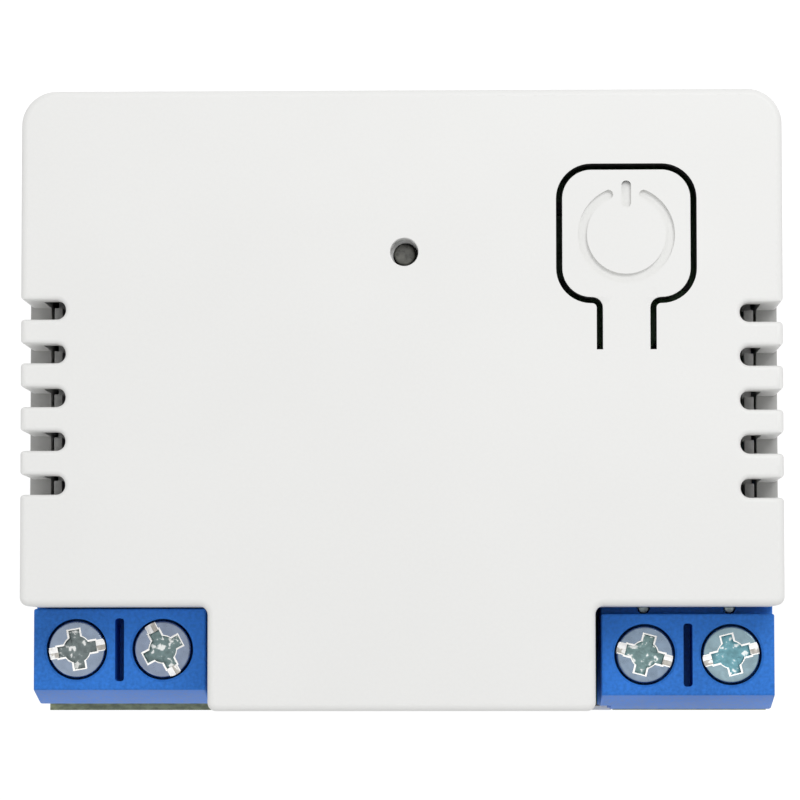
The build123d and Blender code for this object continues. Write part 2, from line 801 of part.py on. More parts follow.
def relay_winding():
    """Copper winding, as the sleeve that its fine wire fills."""
    bottom = bobbin_bottom + bobbin_wall + seat_gap
    top = bobbin_top - bobbin_wall - seat_gap
    winding = post(0, core_y, bottom, top, winding_diameter)
    winding -= post(0, core_y, bottom, top, bobbin_hub_diameter + 2 * fit_gap)
    return relay_place * winding


def relay_armature():
    """Flat iron lever that tips on the top of the yoke when the coil pulls it."""
    half = armature_width / 2
    plate = slab(-half, half, armature_front, yoke_back - armature_overhang,
                 armature_bottom, armature_top)
    return relay_place * fillet(plate.edges().filter_by(Axis.Z), front_corner_radius)


def relay_contact_leaf():
    """Springy bronze leaf riveted on the armature, with a hole for the contact at its free end."""
    half = leaf_width / 2
    leaf = slab(-half, half, leaf_front, leaf_back, armature_top, leaf_top)
    leaf = fillet(leaf.edges().filter_by(Axis.Z), front_corner_radius)
    leaf -= post(0, contact_y, armature_top, leaf_top, rivet_diameter + 2 * fit_gap)
    for y in (armature_front + rivet_diameter, core_y):
        leaf += post(0, y, leaf_top, leaf_top + rivet_height, rivet_diameter)
    return relay_place * leaf


def relay_moving_contact():
    """Silver rivet contact, headed over on the top of the leaf."""
    contact = post(0, contact_y, armature_top - contact_height, armature_top, contact_diameter)
    contact += post(0, contact_y, armature_top, leaf_top + rivet_height, rivet_diameter)
    return relay_place * contact


def relay_fixed_contact():
    """Bent brass strip with a contact on its shelf and two pins through the board."""
    leg_y = contact_y - strip_length / 2
    strip = side_profile([
        (leg_y - strip_thickness, relay_standoff + relay_base_thickness / 2),
        (leg_y - strip_thickness, strip_top), (contact_y + strip_length / 2, strip_top),
        (contact_y + strip_length / 2, strip_top - strip_thickness),
        (leg_y, strip_top - strip_thickness),
        (leg_y, relay_standoff + relay_base_thickness / 2)], strip_width)
    strip += post(0, contact_y, strip_top, fixed_contact_top, contact_diameter)
    pin_half = relay_pin_width / 2
    for x in row(2, strip_width - relay_pin_width):
        strip += slab(x - pin_half, x + pin_half, leg_y - strip_thickness, leg_y,
                      pin_bottom - board_top, relay_standoff + relay_base_thickness / 2)
    return relay_place * strip


def relay_hinge_spring():
    """Strip behind the yoke that bends over the heel of the armature and holds it down."""
    inner = armature_top + seat_gap
    back_y = yoke_back + leaf_thickness
    strip = side_profile([
        (yoke_back, yoke_bottom + hinge_spring_start), (back_y, yoke_bottom + hinge_spring_start),
        (back_y, inner + leaf_thickness), (leaf_back + leaf_thickness, inner + leaf_thickness),
        (leaf_back + leaf_thickness, inner), (yoke_back, inner)], leaf_width)
    heel = strip.edges().filter_by(Axis.X).sort_by(lambda e: e.center().Y + e.center().Z)[-1]
    return relay_place * fillet(heel, leaf_thickness)


def relay_coil_pins():
    """Two square pins that the winding is soldered to."""
    half = header_pin_size / 2
    pins = Part()
    for x in row(2, coil_pin_spread):
        pins += slab(x - half, x + half, coil_pin_y - half, coil_pin_y + half,
                     pin_bottom - board_top, bobbin_bottom + 2 * bobbin_wall)
    return relay_place * pins


def relay_common_pins():
    """Two flat pins under the yoke, which carries the switched current."""
    pins = Part()
    for x in row(2, common_pin_spread):
        pins += slab(x - relay_pin_width / 2, x + relay_pin_width / 2,
                     common_pin_y - relay_pin_thickness / 2, common_pin_y + relay_pin_thickness / 2,
                     pin_bottom - board_top, yoke_bottom)
    return relay_place * pins


def leads(x, y, pitch, top):
    """Two round leads through the power board, up to a given height over it."""
    wires = Part()
    for offset in row(2, pitch):
        wires += post(x + offset, y, pin_bottom, board_top + top, lead_diameter)
    return wires


def bulk_capacitor(x, y):
    """Radial can: a turned outline with the rolled groove over its rubber bung."""
    radius = capacitor_diameter / 2
    groove = lead_diameter / 2
    groove_middle = (capacitor_groove_low + capacitor_groove_high) / 2
    line = Polyline(
        (0, 0), (radius - groove, 0), (radius, groove), (radius, capacitor_groove_low),
        (radius - groove, groove_middle), (radius, capacitor_groove_high),
        (radius, capacitor_height), (0, capacitor_height), close=True)
    can = revolve(Plane.XZ * make_face(line), Axis.Z)
    can = fillet(can.edges().group_by(Axis.Z)[-1], groove)
    can = Pos(x, y, board_top + part_stand) * can
    return can + leads(x, y, capacitor_lead_pitch, part_stand + groove)


def power_inductor():
    """Ferrite drum: two flanges and a hub, turned as one."""
    radius = inductor_diameter / 2
    hub = inductor_core_diameter / 2
    upper = inductor_height - inductor_flange
    line = Polyline(
        (0, 0), (radius, 0), (radius, inductor_flange), (hub, inductor_flange), (hub, upper),
        (radius, upper), (radius, inductor_height), (0, inductor_height), close=True)
    drum = revolve(Plane.XZ * make_face(line), Axis.Z)
    drum = Pos(inductor_x, inductor_y, board_top + part_stand) * drum
    return drum + leads(inductor_x, inductor_y, inductor_lead_pitch, part_stand + inductor_flange / 2)


def inductor_winding():
    """Copper winding between the flanges of the drum."""
    bottom = board_top + part_stand + inductor_flange + seat_gap
    top = board_top + part_stand + inductor_height - inductor_flange - seat_gap
    outer = inductor_diameter - 2 * inductor_winding_gap
    inner = inductor_core_diameter + 2 * fit_gap
    winding = post(inductor_x, inductor_y, bottom, top, outer)
    return winding - post(inductor_x, inductor_y, bottom, top, inner)


def varistor():
    """Coated disc on edge with its two leads."""
    radius = varistor_diameter / 2
    disc = Rot(90, 0, 0) * Cylinder(radius, varistor_thickness)
    disc = fillet(disc.edges(), varistor_thickness / 4)
    disc = Pos(varistor_x, varistor_y, board_top + part_stand + radius) * disc
    return disc + leads(varistor_x, varistor_y, varistor_lead_pitch, part_stand + radius)


def fuse_resistor():
    """Fusible resistor lying along Y, with both leads bent down into the board."""
    z = board_top + part_stand + fuse_diameter / 2
    body = Rot(90, 0, 0) * Cylinder(fuse_diameter / 2, fuse_length)
    body = fillet(body.edges(), fuse_diameter / 4)
    span = fuse_length + 2 * fuse_lead_reach
    wire = Rot(90, 0, 0) * Cylinder(lead_diameter / 2, span)
    resistor = Pos(fuse_x, fuse_y, z) * (body + wire)
    for offset in row(2, span):
        resistor += post(fuse_x, fuse_y + offset, pin_bottom, z, lead_diameter)
        resistor += Pos(fuse_x, fuse_y + offset, z) * Sphere(lead_diameter / 2)
    return resistor


def gull_wing_part(width, length, height, leg_rows, leg_pitch, leg_width, leg_reach):
    """Moulded body with a bevelled top and gull-wing legs along its two long sides."""
    leg_thickness = chip_leg_thickness
    body = slab(-width / 2, width / 2, -length / 2, length / 2, chip_stand, height)
    body = chamfer(body.edges().group_by(Axis.Z)[-1], leg_thickness)
    shoulder = height / 2
    for side, count in ((-1, leg_rows[0]), (1, leg_rows[1])):
        inner = width / 2 - leg_thickness
        bend = width / 2 + leg_reach / 2
        tip = width / 2 + leg_reach
        profile = make_face(Polyline(
            (inner, shoulder), (inner, shoulder + leg_thickness),
            (bend, shoulder + leg_thickness), (bend, leg_thickness), (tip, leg_thickness),
            (tip, 0), (bend - leg_thickness, 0), (bend - leg_thickness, shoulder), close=True))
        leg = extrude(Plane.XZ * profile, amount=leg_width / 2, both=True)
        for y in row(count, leg_pitch):
            placed = Pos(0, y, 0) * leg
            body += placed if side > 0 else mirror(placed, Plane.YZ)
    return body


def output_capacitor():
    """Low can on its square plastic base."""
    base_half = output_capacitor_diameter / 2 + output_capacitor_skirt
    base = slab(-base_half, base_half, -base_half, base_half, 0, output_capacitor_base)
    corners = base.edges().filter_by(Axis.Z).group_by(Axis.X)[-1]
    base = chamfer(corners, output_capacitor_base)
    can = post(0, 0, output_capacitor_base, output_capacitor_height, output_capacitor_diameter)
    can = fillet(can.edges().group_by(Axis.Z)[-1], lead_diameter / 2)
    return Pos(output_capacitor_x, output_capacitor_y, board_top) * (base + can)


def header_body(x, y, count):
    """Plastic strip that holds a row of square pins."""
    half_length = count * header_pitch / 2
    strip = slab(x - half_length, x + half_length, y - header_pitch / 2, y + header_pitch / 2,
                 board_top, board_top + header_body_height)
    strip = chamfer(strip.edges().filter_by(Axis.Z), pin_gap * 2)
    for offset in row(count, header_pitch):
        strip -= post(x + offset, y, board_top, board_top + header_body_height,
                      hypot(header_pin_size, header_pin_size) + 2 * fit_gap)
    return strip


def header_pins(x, y, count):
    """Square pins through both boards."""
    half = header_pin_size / 2
    pins = Part()
    for offset in row(count, header_pitch):
        pins += slab(x + offset - half, x + offset + half, y - half, y + half,
                     pin_bottom, radio_top + header_pin_rise)
    return pins


def radio_chip():
    """Flat radio controller with a bevelled top."""
    half = radio_chip_size / 2
    chip = slab(-half, half, -half, half, 0, radio_chip_height)
    chip = chamfer(chip.edges().group_by(Axis.Z)[-1], radio_chip_bevel)
    return Pos(radio_chip_x, radio_chip_y, radio_top) * chip


def crystal():
    """Metal-lidded crystal."""
    x = crystal_length / 2
    y = crystal_width / 2
    base = slab(-x, x, -y, y, 0, crystal_base_height)
    lid = slab(crystal_rim - x, x - crystal_rim, crystal_rim - y, y - crystal_rim,
               crystal_base_height, crystal_height)
    lid = fillet(lid.edges().filter_by(Axis.Z), crystal_corner)
    return Pos(crystal_x, crystal_y, radio_top) * (base + lid)


def chip_antenna():
    """Ceramic antenna with a metal cap at each end."""
    x = antenna_length / 2
    y = antenna_width / 2
    skirt = antenna_cap_skirt
    antenna = slab(skirt - x, x - skirt, skirt - y, y - skirt, 0, antenna_height - skirt)
    for side in (-1, 1):
        span = sorted((side * (x - antenna_cap_length), side * x))
        antenna += slab(*span, -y, y, 0, antenna_height)
    return Pos(antenna_x, antenna_y, radio_top) * antenna


def tact_switch_body():
    """Push switch: a square body with a round well for the plunger and four soldered feet."""
    half = tact_width / 2
    body = slab(-half, half, -half, half, 0, tact_height)
    body = chamfer(body.edges().filter_by(Axis.Z), tact_corner)
    foot_half = tact_foot_width / 2
    for side in (-1, 1):
        for y in row(2, tact_foot_pitch):
            span = sorted((side * (half - tact_foot_root), side * (half + tact_foot_reach)))
            body += slab(*span, y - foot_half, y + foot_half, 0, tact_foot_height)
    body -= post(0, 0, tact_height - tact_cavity_depth, tact_height, tact_cavity_diameter)
    return Pos(tongue_x, press_y, radio_top) * body


def tact_plunger():
    """Round plunger of the switch, under the boss of the button tongue."""
    plunger = post(tongue_x, press_y, plunger_top - plunger_length, plunger_top, plunger_diameter)
    return chamfer(plunger.edges().sort_by(Axis.Z)[-1], plunger_chamfer)


def tact_dome():
    """Snap dome of thin spring steel on the floor of the switch's well."""
    radius = plunger_diameter / 2
    floor = radio_top + tact_height - tact_cavity_depth
    flat = radius / 2
    line = Polyline((0, dome_rise), (flat, dome_rise), (radius, 0), (radius, dome_thickness),
                    (flat, dome_rise + dome_thickness), (0, dome_rise + dome_thickness), close=True)
    return Pos(tongue_x, press_y, floor) * revolve(Plane.XZ * make_face(line), Axis.Z)


def light_pipe():
    """Smoke-grey rod with a flange that seats in the collar of the cover."""
    flange_top = ceiling - seat_gap
    pipe_bottom = radio_top + led_height + led_air
    pipe = post(led_x, led_y, pipe_bottom, light_pipe_top, light_pipe_diameter)
    return pipe + post(led_x, led_y, flange_top - light_pipe_flange_height, flange_top,
                       light_pipe_flange_diameter)


def status_led():
    """Small surface-mounted light: a base with a clear block on it."""
    y = led_width / 2
    base = slab(-led_length / 2, led_length / 2, -y, y, 0, led_base_height)
    lens = slab(-led_lens_length / 2, led_lens_length / 2, -y, y, led_base_height, led_height)
    return Pos(led_x, led_y, radio_top) * (base + lens)


def all_pieces():
    """Every piece by the name of its file."""
    bridge = gull_wing_part(bridge_width, bridge_length, bridge_height, (2, 2),
                            bridge_leg_pitch, bridge_leg_width, small_leg_reach)
    small_outline = gull_wing_part(outline_width, outline_length, outline_height, (4, 4),
                                   outline_leg_pitch, outline_leg_width, outline_leg_reach)
    driver = gull_wing_part(driver_width, driver_length, driver_height, (1, 2),
                            driver_leg_pitch, driver_leg_width, small_leg_reach)
    pieces = {
        "top_cover": top_cover(),
        "button_tongue": button_tongue(),
        "base_plate": base_plate(),
        "power_board": power_board(),
        "radio_board": radio_board(),
        "terminal_housing_left": terminal_housing(-1, left_screw_y, False),
        "terminal_housing_right": terminal_housing(1, right_screw_y, True),
        "relay_cover": relay_cover(),
        "relay_base": relay_base(),
        "relay_yoke": relay_yoke(),
        "relay_core": relay_core(),
        "relay_bobbin": relay_bobbin(),
        "relay_winding": relay_winding(),
        "relay_armature": relay_armature(),
        "relay_contact_leaf": relay_contact_leaf(),
        "relay_moving_contact": relay_moving_contact(),
        "relay_fixed_contact": relay_fixed_contact(),
        "relay_hinge_spring": relay_hinge_spring(),
        "relay_coil_pins": relay_coil_pins(),
        "relay_common_pins": relay_common_pins(),
        "power_inductor": power_inductor(),
        "inductor_winding": inductor_winding(),
        "varistor": varistor(),
        "fuse_resistor": fuse_resistor(),
        "bridge_rectifier": Pos(bridge_x, bridge_y, board_top) * bridge,
        "output_capacitor": output_capacitor(),
        "regulator_chip": Pos(regulator_x, regulator_y, board_top) * small_outline,
        "driver_transistor": Pos(driver_x, driver_y, board_top) * driver,
        "header_body": header_body(header_x, header_y, header_count),
        "header_pins": header_pins(header_x, header_y, header_count),
        "support_header_body": header_body(support_header_x, support_header_y, support_header_count),
        "support_header_pins": header_pins(support_header_x, support_header_y, support_header_count),
        "radio_chip": radio_chip(),
        "memory_chip": Pos(memory_x, memory_y, radio_top) * small_outline,
        "crystal": crystal(),
        "chip_antenna": chip_antenna(),
        "tact_switch_body": tact_switch_body(),
        "tact_plunger": tact_plunger(),
        "tact_dome": tact_dome(),
        "status_led": status_led(),
        "light_pipe": light_pipe(),
    }
    for number, (x, y) in enumerate(capacitor_places, start=1):
        pieces[f"bulk_capacitor_{number}"] = bulk_capacitor(x, y)
    for number, ((x, y, _), angle) in enumerate(zip(terminal_poles(), screw_angles), start=1):
        pieces[f"terminal_screw_{number}"] = terminal_screw(x, y, angle)
        pieces[f"clamp_cage_{number}"] = clamp_cage(x, y)
        pieces[f"contact_bar_{number}"] = contact_bar(x, y)
    return pieces


os.makedirs("parts", exist_ok=True)
for name, shape in all_pieces().items():
    export_step(shape, f"parts/{name}.step")
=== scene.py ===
from math import radians

import bmesh
import bpy
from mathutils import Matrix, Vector


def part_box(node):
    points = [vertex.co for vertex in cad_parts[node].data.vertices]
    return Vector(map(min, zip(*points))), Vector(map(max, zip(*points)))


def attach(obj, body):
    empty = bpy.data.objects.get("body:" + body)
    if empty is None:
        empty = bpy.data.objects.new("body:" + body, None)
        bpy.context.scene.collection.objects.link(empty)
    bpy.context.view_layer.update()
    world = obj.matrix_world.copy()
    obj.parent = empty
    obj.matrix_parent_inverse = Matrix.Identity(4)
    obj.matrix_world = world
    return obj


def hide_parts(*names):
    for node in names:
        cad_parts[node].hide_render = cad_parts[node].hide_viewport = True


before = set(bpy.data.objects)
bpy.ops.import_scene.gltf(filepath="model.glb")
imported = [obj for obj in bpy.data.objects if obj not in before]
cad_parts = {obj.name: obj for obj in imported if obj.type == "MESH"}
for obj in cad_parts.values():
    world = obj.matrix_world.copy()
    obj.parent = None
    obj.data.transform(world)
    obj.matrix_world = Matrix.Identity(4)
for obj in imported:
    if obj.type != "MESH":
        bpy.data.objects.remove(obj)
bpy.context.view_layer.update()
bpy.ops.object.select_all(action="DESELECT")
mm = 0.001

# The photograph's view: a long lens looks nearly straight down, with the back edge of the case
# towards the top of the picture. The picture is moved down in the frame by a small lens shift.
camera_place = Vector((5.03, -14.84, 232.0)) * mm
camera_turn = (0.05619, 0.02403, -0.00071)
camera_focal_length = 168.46
camera_shift = 0.0625
sensor_width = 36.0

bpy.ops.object.camera_add(location=camera_place, rotation=camera_turn)
camera = bpy.context.object
camera.data.lens = camera_focal_length
camera.data.sensor_width = sensor_width
camera.data.shift_y = camera_shift
camera.data.clip_start = mm
bpy.context.scene.camera = camera
bpy.context.scene.view_settings.view_transform = "Standard"

# Soft studio light: a large panel above and behind the right back corner, a weaker one at the
# left front, and a plain pale world that fills the shadows.
key_place = Vector((75.0, 115.0, 260.0)) * mm
key_size = 0.11
key_power = 0.27
fill_place = Vector((-220.0, -160.0, 260.0)) * mm
fill_size = 0.3
fill_power = 0.08
world_colour = (1.0, 1.0, 1.0, 1.0)
world_strength = 0.68

for name, place, size, power in (("key_light", key_place, key_size, key_power),
                                 ("fill_light", fill_place, fill_size, fill_power)):
    bpy.ops.object.light_add(type="AREA", location=place)
    lamp = bpy.context.object
    lamp.name = name
    lamp.data.shape = "SQUARE"
    lamp.data.size = size
    lamp.data.energy = power
    lamp.rotation_euler = (-place).to_track_quat("-Z", "Y").to_euler()


def feed(links, socket, value):
    """Gives a socket a plain value, or links it to another node's socket."""
    if isinstance(value, bpy.types.NodeSocket):
        links.new(value, socket)
    else:
        socket.default_value = value


def maths(nodes, links, operation, first, second):
    """What a Math node makes of two numbers, which may come from sockets."""
    node = nodes.new("ShaderNodeMath")
    node.operation = operation
    feed(links, node.inputs[0], first)
    feed(links, node.inputs[1], second)
    return node.outputs["Value"]


def seen_rays(nodes, links):
    """One for the rays that show a surface straight on, in metal or through glass, else zero."""
    path = nodes.new("ShaderNodeLightPath").outputs
    plain = maths(nodes, links, "MAXIMUM", path["Is Camera Ray"], path["Is Glossy Ray"])
    return maths(nodes, links, "MAXIMUM", plain, path["Is Transmission Ray"])


world = bpy.data.worlds.new("pale_room")
bpy.context.scene.world = world
world.use_nodes = True
world_nodes = world.node_tree.nodes
world_links = world.node_tree.links
room_light = world_nodes["Background"]
room_light.inputs["Color"].default_value = world_colour
room_light.inputs["Strength"].default_value = world_strength
backdrop = world_nodes.new("ShaderNodeBackground")
backdrop.inputs["Color"].default_value = world_colour
backdrop.inputs["Strength"].default_value = 1.0
seen_directly = world_nodes.new("ShaderNodeMixShader")
world_links.new(seen_rays(world_nodes, world_links), seen_directly.inputs["Fac"])
world_links.new(room_light.outputs["Background"], seen_directly.inputs[1])
world_links.new(backdrop.outputs["Background"], seen_directly.inputs[2])
world_links.new(seen_directly.outputs["Shader"], world_nodes["World Output"].inputs["Surface"])

# The floor that the relay lies on: plain white, seen as white, with the soft shadow kept.
floor_half = 600.0 * mm
floor_gap = 0.05 * mm
floor_white = (0.9, 0.9, 0.9, 1.0)
floor_glow_share = 0.85
floor_glow = 1.12
floor_roughness = 0.9

bpy.ops.mesh.primitive_plane_add(size=2 * floor_half, location=(0, 0, -floor_gap))
floor = bpy.context.object
floor.name = "floor"
floor_material = bpy.data.materials.new("white_floor")
floor_material.use_nodes = True
nodes = floor_material.node_tree.nodes
links = floor_material.node_tree.links
nodes["Principled BSDF"].inputs["Base Color"].default_value = floor_white
nodes["Principled BSDF"].inputs["Roughness"].default_value = floor_roughness
glow = nodes.new("ShaderNodeEmission")
glow.inputs["Strength"].default_value = floor_glow
mix = nodes.new("ShaderNodeMixShader")
links.new(maths(nodes, links, "MULTIPLY", seen_rays(nodes, links), floor_glow_share),
          mix.inputs["Fac"])
links.new(nodes["Principled BSDF"].outputs["BSDF"], mix.inputs[1])
links.new(glow.outputs["Emission"], mix.inputs[2])
links.new(mix.outputs["Shader"], nodes["Material Output"].inputs["Surface"])
floor.data.materials.append(floor_material)

# Base plate: the white moulded floor of the case, with its lip, four snap hooks and board posts.
# The CAD solid has its true shape; it gets the fine matt grain of a spark-finished mould here.
grain_fine = 5200.0
grain_broad = 130.0
fine_detail = 3.0
broad_detail = 2.0
noise_span = (0.35, 0.65)
gloss_spread = (-0.05, 0.05)
white_abs = (0.80, 0.80, 0.785, 1.0)


def noise_at(nodes, links, place, scale, detail):
    """A noise pattern over the piece, between about 0.35 and 0.65."""
    noise = nodes.new("ShaderNodeTexNoise")
    noise.inputs["Detail"].default_value = detail
    feed(links, noise.inputs["Scale"], scale)
    links.new(place, noise.inputs["Vector"])
    return noise.outputs["Fac"]


def remap(nodes, links, value, low, high, span=noise_span):
    """A value within the span, moved onto a new one from low to high."""
    node = nodes.new("ShaderNodeMapRange")
    links.new(value, node.inputs["Value"])
    for name, end in zip(("From Min", "From Max", "To Min", "To Max"), (*span, low, high)):
        feed(links, node.inputs[name], end)
    return node.outputs["Result"]


def toned(nodes, links, colour, value):
    """A colour made darker or lighter by a value that changes over the surface."""
    node = nodes.new("ShaderNodeHueSaturation")
    feed(links, node.inputs["Color"], colour)
    links.new(value, node.inputs["Value"])
    return node.outputs["Color"]


def shared_effect(name, numbers, vectors=()):
    """A new effect that takes a colour, numbers and vectors, with its nodes, links and ends."""
    group = bpy.data.node_groups.new(name, "ShaderNodeTree")
    for socket, kind in ([("Colour", "Color")] + [(number, "Float") for number in numbers]
                         + [(vector, "Vector") for vector in vectors]):
        group.interface.new_socket(socket, in_out="INPUT", socket_type="NodeSocket" + kind)
    for socket, kind in (("Colour", "Color"), ("Roughness", "Float"), ("Height", "Float")):
        group.interface.new_socket(socket, in_out="OUTPUT", socket_type="NodeSocket" + kind)
    given = group.nodes.new("NodeGroupInput").outputs
    result = group.nodes.new("NodeGroupOutput").inputs
    return group, group.nodes, group.links, given, result


def moulded_group():
    """Shared effect: the grain and the faint unevenness of a moulded surface."""
    group, nodes, links, given, result = shared_effect("moulded_surface",
                                                       ("Spread", "Roughness", "Grain"))
    place = nodes.new("ShaderNodeTexCoord").outputs["Object"]
    fine = noise_at(nodes, links, place, given["Grain"], fine_detail)
    broad = noise_at(nodes, links, place, grain_broad, broad_detail)
    both = maths(nodes, links, "MULTIPLY", maths(nodes, links, "ADD", fine, broad), 0.5)
    darker = maths(nodes, links, "SUBTRACT", 1.0, given["Spread"])
    lighter = maths(nodes, links, "ADD", 1.0, given["Spread"])
    shade = remap(nodes, links, both, darker, lighter)
    uneven = remap(nodes, links, fine, *gloss_spread)
    links.new(toned(nodes, links, given["Colour"], shade), result["Colour"])
    links.new(maths(nodes, links, "ADD", given["Roughness"], uneven), result["Roughness"])
    links.new(fine, result["Height"])
    return group


moulded_surface = moulded_group()


def surface(name, effect, settings, bump_depth, **shader):
    """A material whose colour, roughness and relief come from a shared effect."""
    material = bpy.data.materials.new(name)
    material.use_nodes = True
    nodes, links = material.node_tree.nodes, material.node_tree.links
    principled = nodes["Principled BSDF"]
    group = nodes.new("ShaderNodeGroup")
    group.node_tree = effect
    for socket, value in settings.items():
        group.inputs[socket].default_value = value
    bump = nodes.new("ShaderNodeBump")
    bump.inputs["Distance"].default_value = bump_depth
    links.new(group.outputs["Colour"], principled.inputs["Base Color"])
    links.new(group.outputs["Roughness"], principled.inputs["Roughness"])
    links.new(group.outputs["Height"], bump.inputs["Height"])
    links.new(bump.outputs["Normal"], principled.inputs["Normal"])
    for socket, value in shader.items():
        principled.inputs[socket.replace("_", " ")].default_value = value
    return material


def moulded(name, colour, roughness, spread=0.02, grain=grain_fine, depth=0.004 * mm, **shader):
    """A moulded plastic or coated surface."""
    settings = {"Colour": colour, "Spread": spread, "Roughness": roughness, "Grain": grain}
    return surface(name, moulded_surface, settings, depth, **shader)


def dress(material, *nodes):
    """Gives CAD nodes their finish."""
    for node in nodes:
        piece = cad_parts[node]
        piece.data.materials.clear()
        piece.data.materials.append(material)


base_white = moulded("base_white", white_abs, 0.5)
dress(base_white, "base_plate")

# Power board: glass-fibre laminate with green solder mask on both faces and bare sawn edges.
# It lies on the lip and posts of the base, and its front edge shows under the terminal blocks.
mask_green = (0.045, 0.13, 0.045, 1.0)
laminate = (0.235, 0.265, 0.15, 1.0)
mask_thickness = 0.06 * mm
mask_margin = 0.55 * mm
fibre_pitch = 5000.0
fibre_stretch = (0.4, 0.8, 5.0)
fibre_tones = (0.75, 1.3)


def stretched(nodes, links, place, stretch):
    """A place on the piece, stretched along each axis."""
    node = nodes.new("ShaderNodeVectorMath")
    node.operation = "MULTIPLY"
    links.new(place, node.inputs[0])
    feed(links, node.inputs[1], stretch)
    return node.outputs["Vector"]


def mixed(nodes, links, share, first, second):
    """Two colours, the second covering the first by a share."""
    node = nodes.new("ShaderNodeMix")
    node.data_type = "RGBA"
    links.new(share, node.inputs["Factor"])
    colours = [socket for socket in node.inputs if socket.type == "RGBA"]
    feed(links, colours[0], first)
    feed(links, colours[1], second)
    return next(socket for socket in node.outputs if socket.type == "RGBA")


def board_material(name, node):
    """Green faces over a fibrous olive core, which is bare at the edges and along the front."""
    low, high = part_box(node)
    material = moulded(name, mask_green, 0.35, spread=0.12, grain=3000.0, depth=0.003 * mm)
    nodes, links = material.node_tree.nodes, material.node_tree.links
    base_colour = nodes["Principled BSDF"].inputs["Base Color"]
    masked = base_colour.links[0].from_socket
    place = nodes.new("ShaderNodeTexCoord").outputs["Object"]
    split = nodes.new("ShaderNodeSeparateXYZ")
    links.new(place, split.inputs["Vector"])
    height = split.outputs["Z"]
    above = maths(nodes, links, "GREATER_THAN", height, low[2] + mask_thickness)
    below = maths(nodes, links, "LESS_THAN", height, high[2] - mask_thickness)
    core = maths(nodes, links, "MULTIPLY", above, below)
    front = maths(nodes, links, "LESS_THAN", split.outputs["Y"], low[1] + mask_margin)
    bare = maths(nodes, links, "MAXIMUM", core, front)
    fibres = noise_at(nodes, links, stretched(nodes, links, place, fibre_stretch), fibre_pitch,
                      broad_detail)
    fibrous = toned(nodes, links, laminate, remap(nodes, links, fibres, *fibre_tones))
    links.new(mixed(nodes, links, bare, masked, fibrous), base_colour)
    return material


dress(board_material("power_board_laminate", "power_board"), "power_board")

# Parts of the power supply, soldered to the power board: sleeved capacitors, a ferrite drum with
# its winding, a coated varistor, a fusible resistor and small moulded chips.
# Painted glint highlights on metal: where the clouds pass this band, the colour turns near-white.
glint_spot_edge = (0.57, 0.63)
glint_highlight_white = (0.95, 0.95, 0.93, 1.0)
plating_spread = (-0.08, 0.1)
drawn_marks = (4000.0, 4000.0, 900.0)
wire_turns = (300.0, 300.0, 12000.0)

black_epoxy = moulded("black_epoxy", (0.018, 0.018, 0.02, 1.0), 0.45, 0.1)
sleeve = moulded("capacitor_sleeve", (0.012, 0.016, 0.04, 1.0), 0.25, 0.05)
ferrite = moulded("ferrite", (0.05, 0.05, 0.052, 1.0), 0.7, 0.15)
varistor_coat = moulded("varistor_coat", (0.03, 0.09, 0.36, 1.0), 0.3, 0.06)
fuse_coat = moulded("fuse_coat", (0.16, 0.27, 0.2, 1.0), 0.6, 0.1)
dress(black_epoxy, "bridge_rectifier", "regulator_chip", "driver_transistor")
dress(sleeve, "bulk_capacitor_1", "bulk_capacitor_2")
dress(ferrite, "power_inductor")
dress(varistor_coat, "varistor")
dress(fuse_coat, "fuse_resistor")


def metal_group():
    """Shared effect: the cloudy plating, painted glint highlights and fine drawn marks of a metal
    surface.
    """
    group, nodes, links, given, result = shared_effect(
        "worked_metal", ("Spread", "Roughness", "Clouds", "Glint"), ("Marks",))
    place = nodes.new("ShaderNodeTexCoord").outputs["Object"]
    marks = noise_at(nodes, links, stretched(nodes, links, place, given["Marks"]), 1.0, fine_detail)
    clouds = noise_at(nodes, links, place, given["Clouds"], fine_detail)
    darker = maths(nodes, links, "SUBTRACT", 1.0, given["Spread"])
    plated = toned(nodes, links, given["Colour"], remap(nodes, links, clouds, darker, 1.0))
    glint_spots = remap(nodes, links, clouds, 0.0, given["Glint"], glint_spot_edge)
    uneven = remap(nodes, links, marks, *plating_spread)
    links.new(mixed(nodes, links, glint_spots, plated, glint_highlight_white), result["Colour"])
    links.new(maths(nodes, links, "ADD", given["Roughness"], uneven), result["Roughness"])
    links.new(marks, result["Height"])
    return group


worked_metal = metal_group()


def metal(name, colour, roughness, spread=0.12, marks=drawn_marks, depth=0.003 * mm, clouds=900.0,
          glint=0.0):
    """A plated, drawn or rolled metal surface, with near-white spots of painted highlight where
    glint isn't zero.
    """
    settings = {"Colour": colour, "Spread": spread, "Roughness": roughness, "Marks": marks,
                "Clouds": clouds, "Glint": glint}
    return surface(name, worked_metal, settings, depth, Metallic=1.0)


can_aluminium = metal("can_aluminium", (0.75, 0.75, 0.76, 1.0), 0.3)
enamelled_copper = metal("enamelled_copper", (0.62, 0.24, 0.09, 1.0), 0.3, spread=0.2,
                         marks=wire_turns, depth=0.03 * mm)
dress(can_aluminium, "output_capacitor")
dress(enamelled_copper, "inductor_winding")

# Relay: a black moulded cap over an iron frame, a wound coil, a tipping armature and its
# silver contacts. The CAD solids have the true shapes of the parts.
rolled_marks = (6000.0, 500.0, 6000.0)

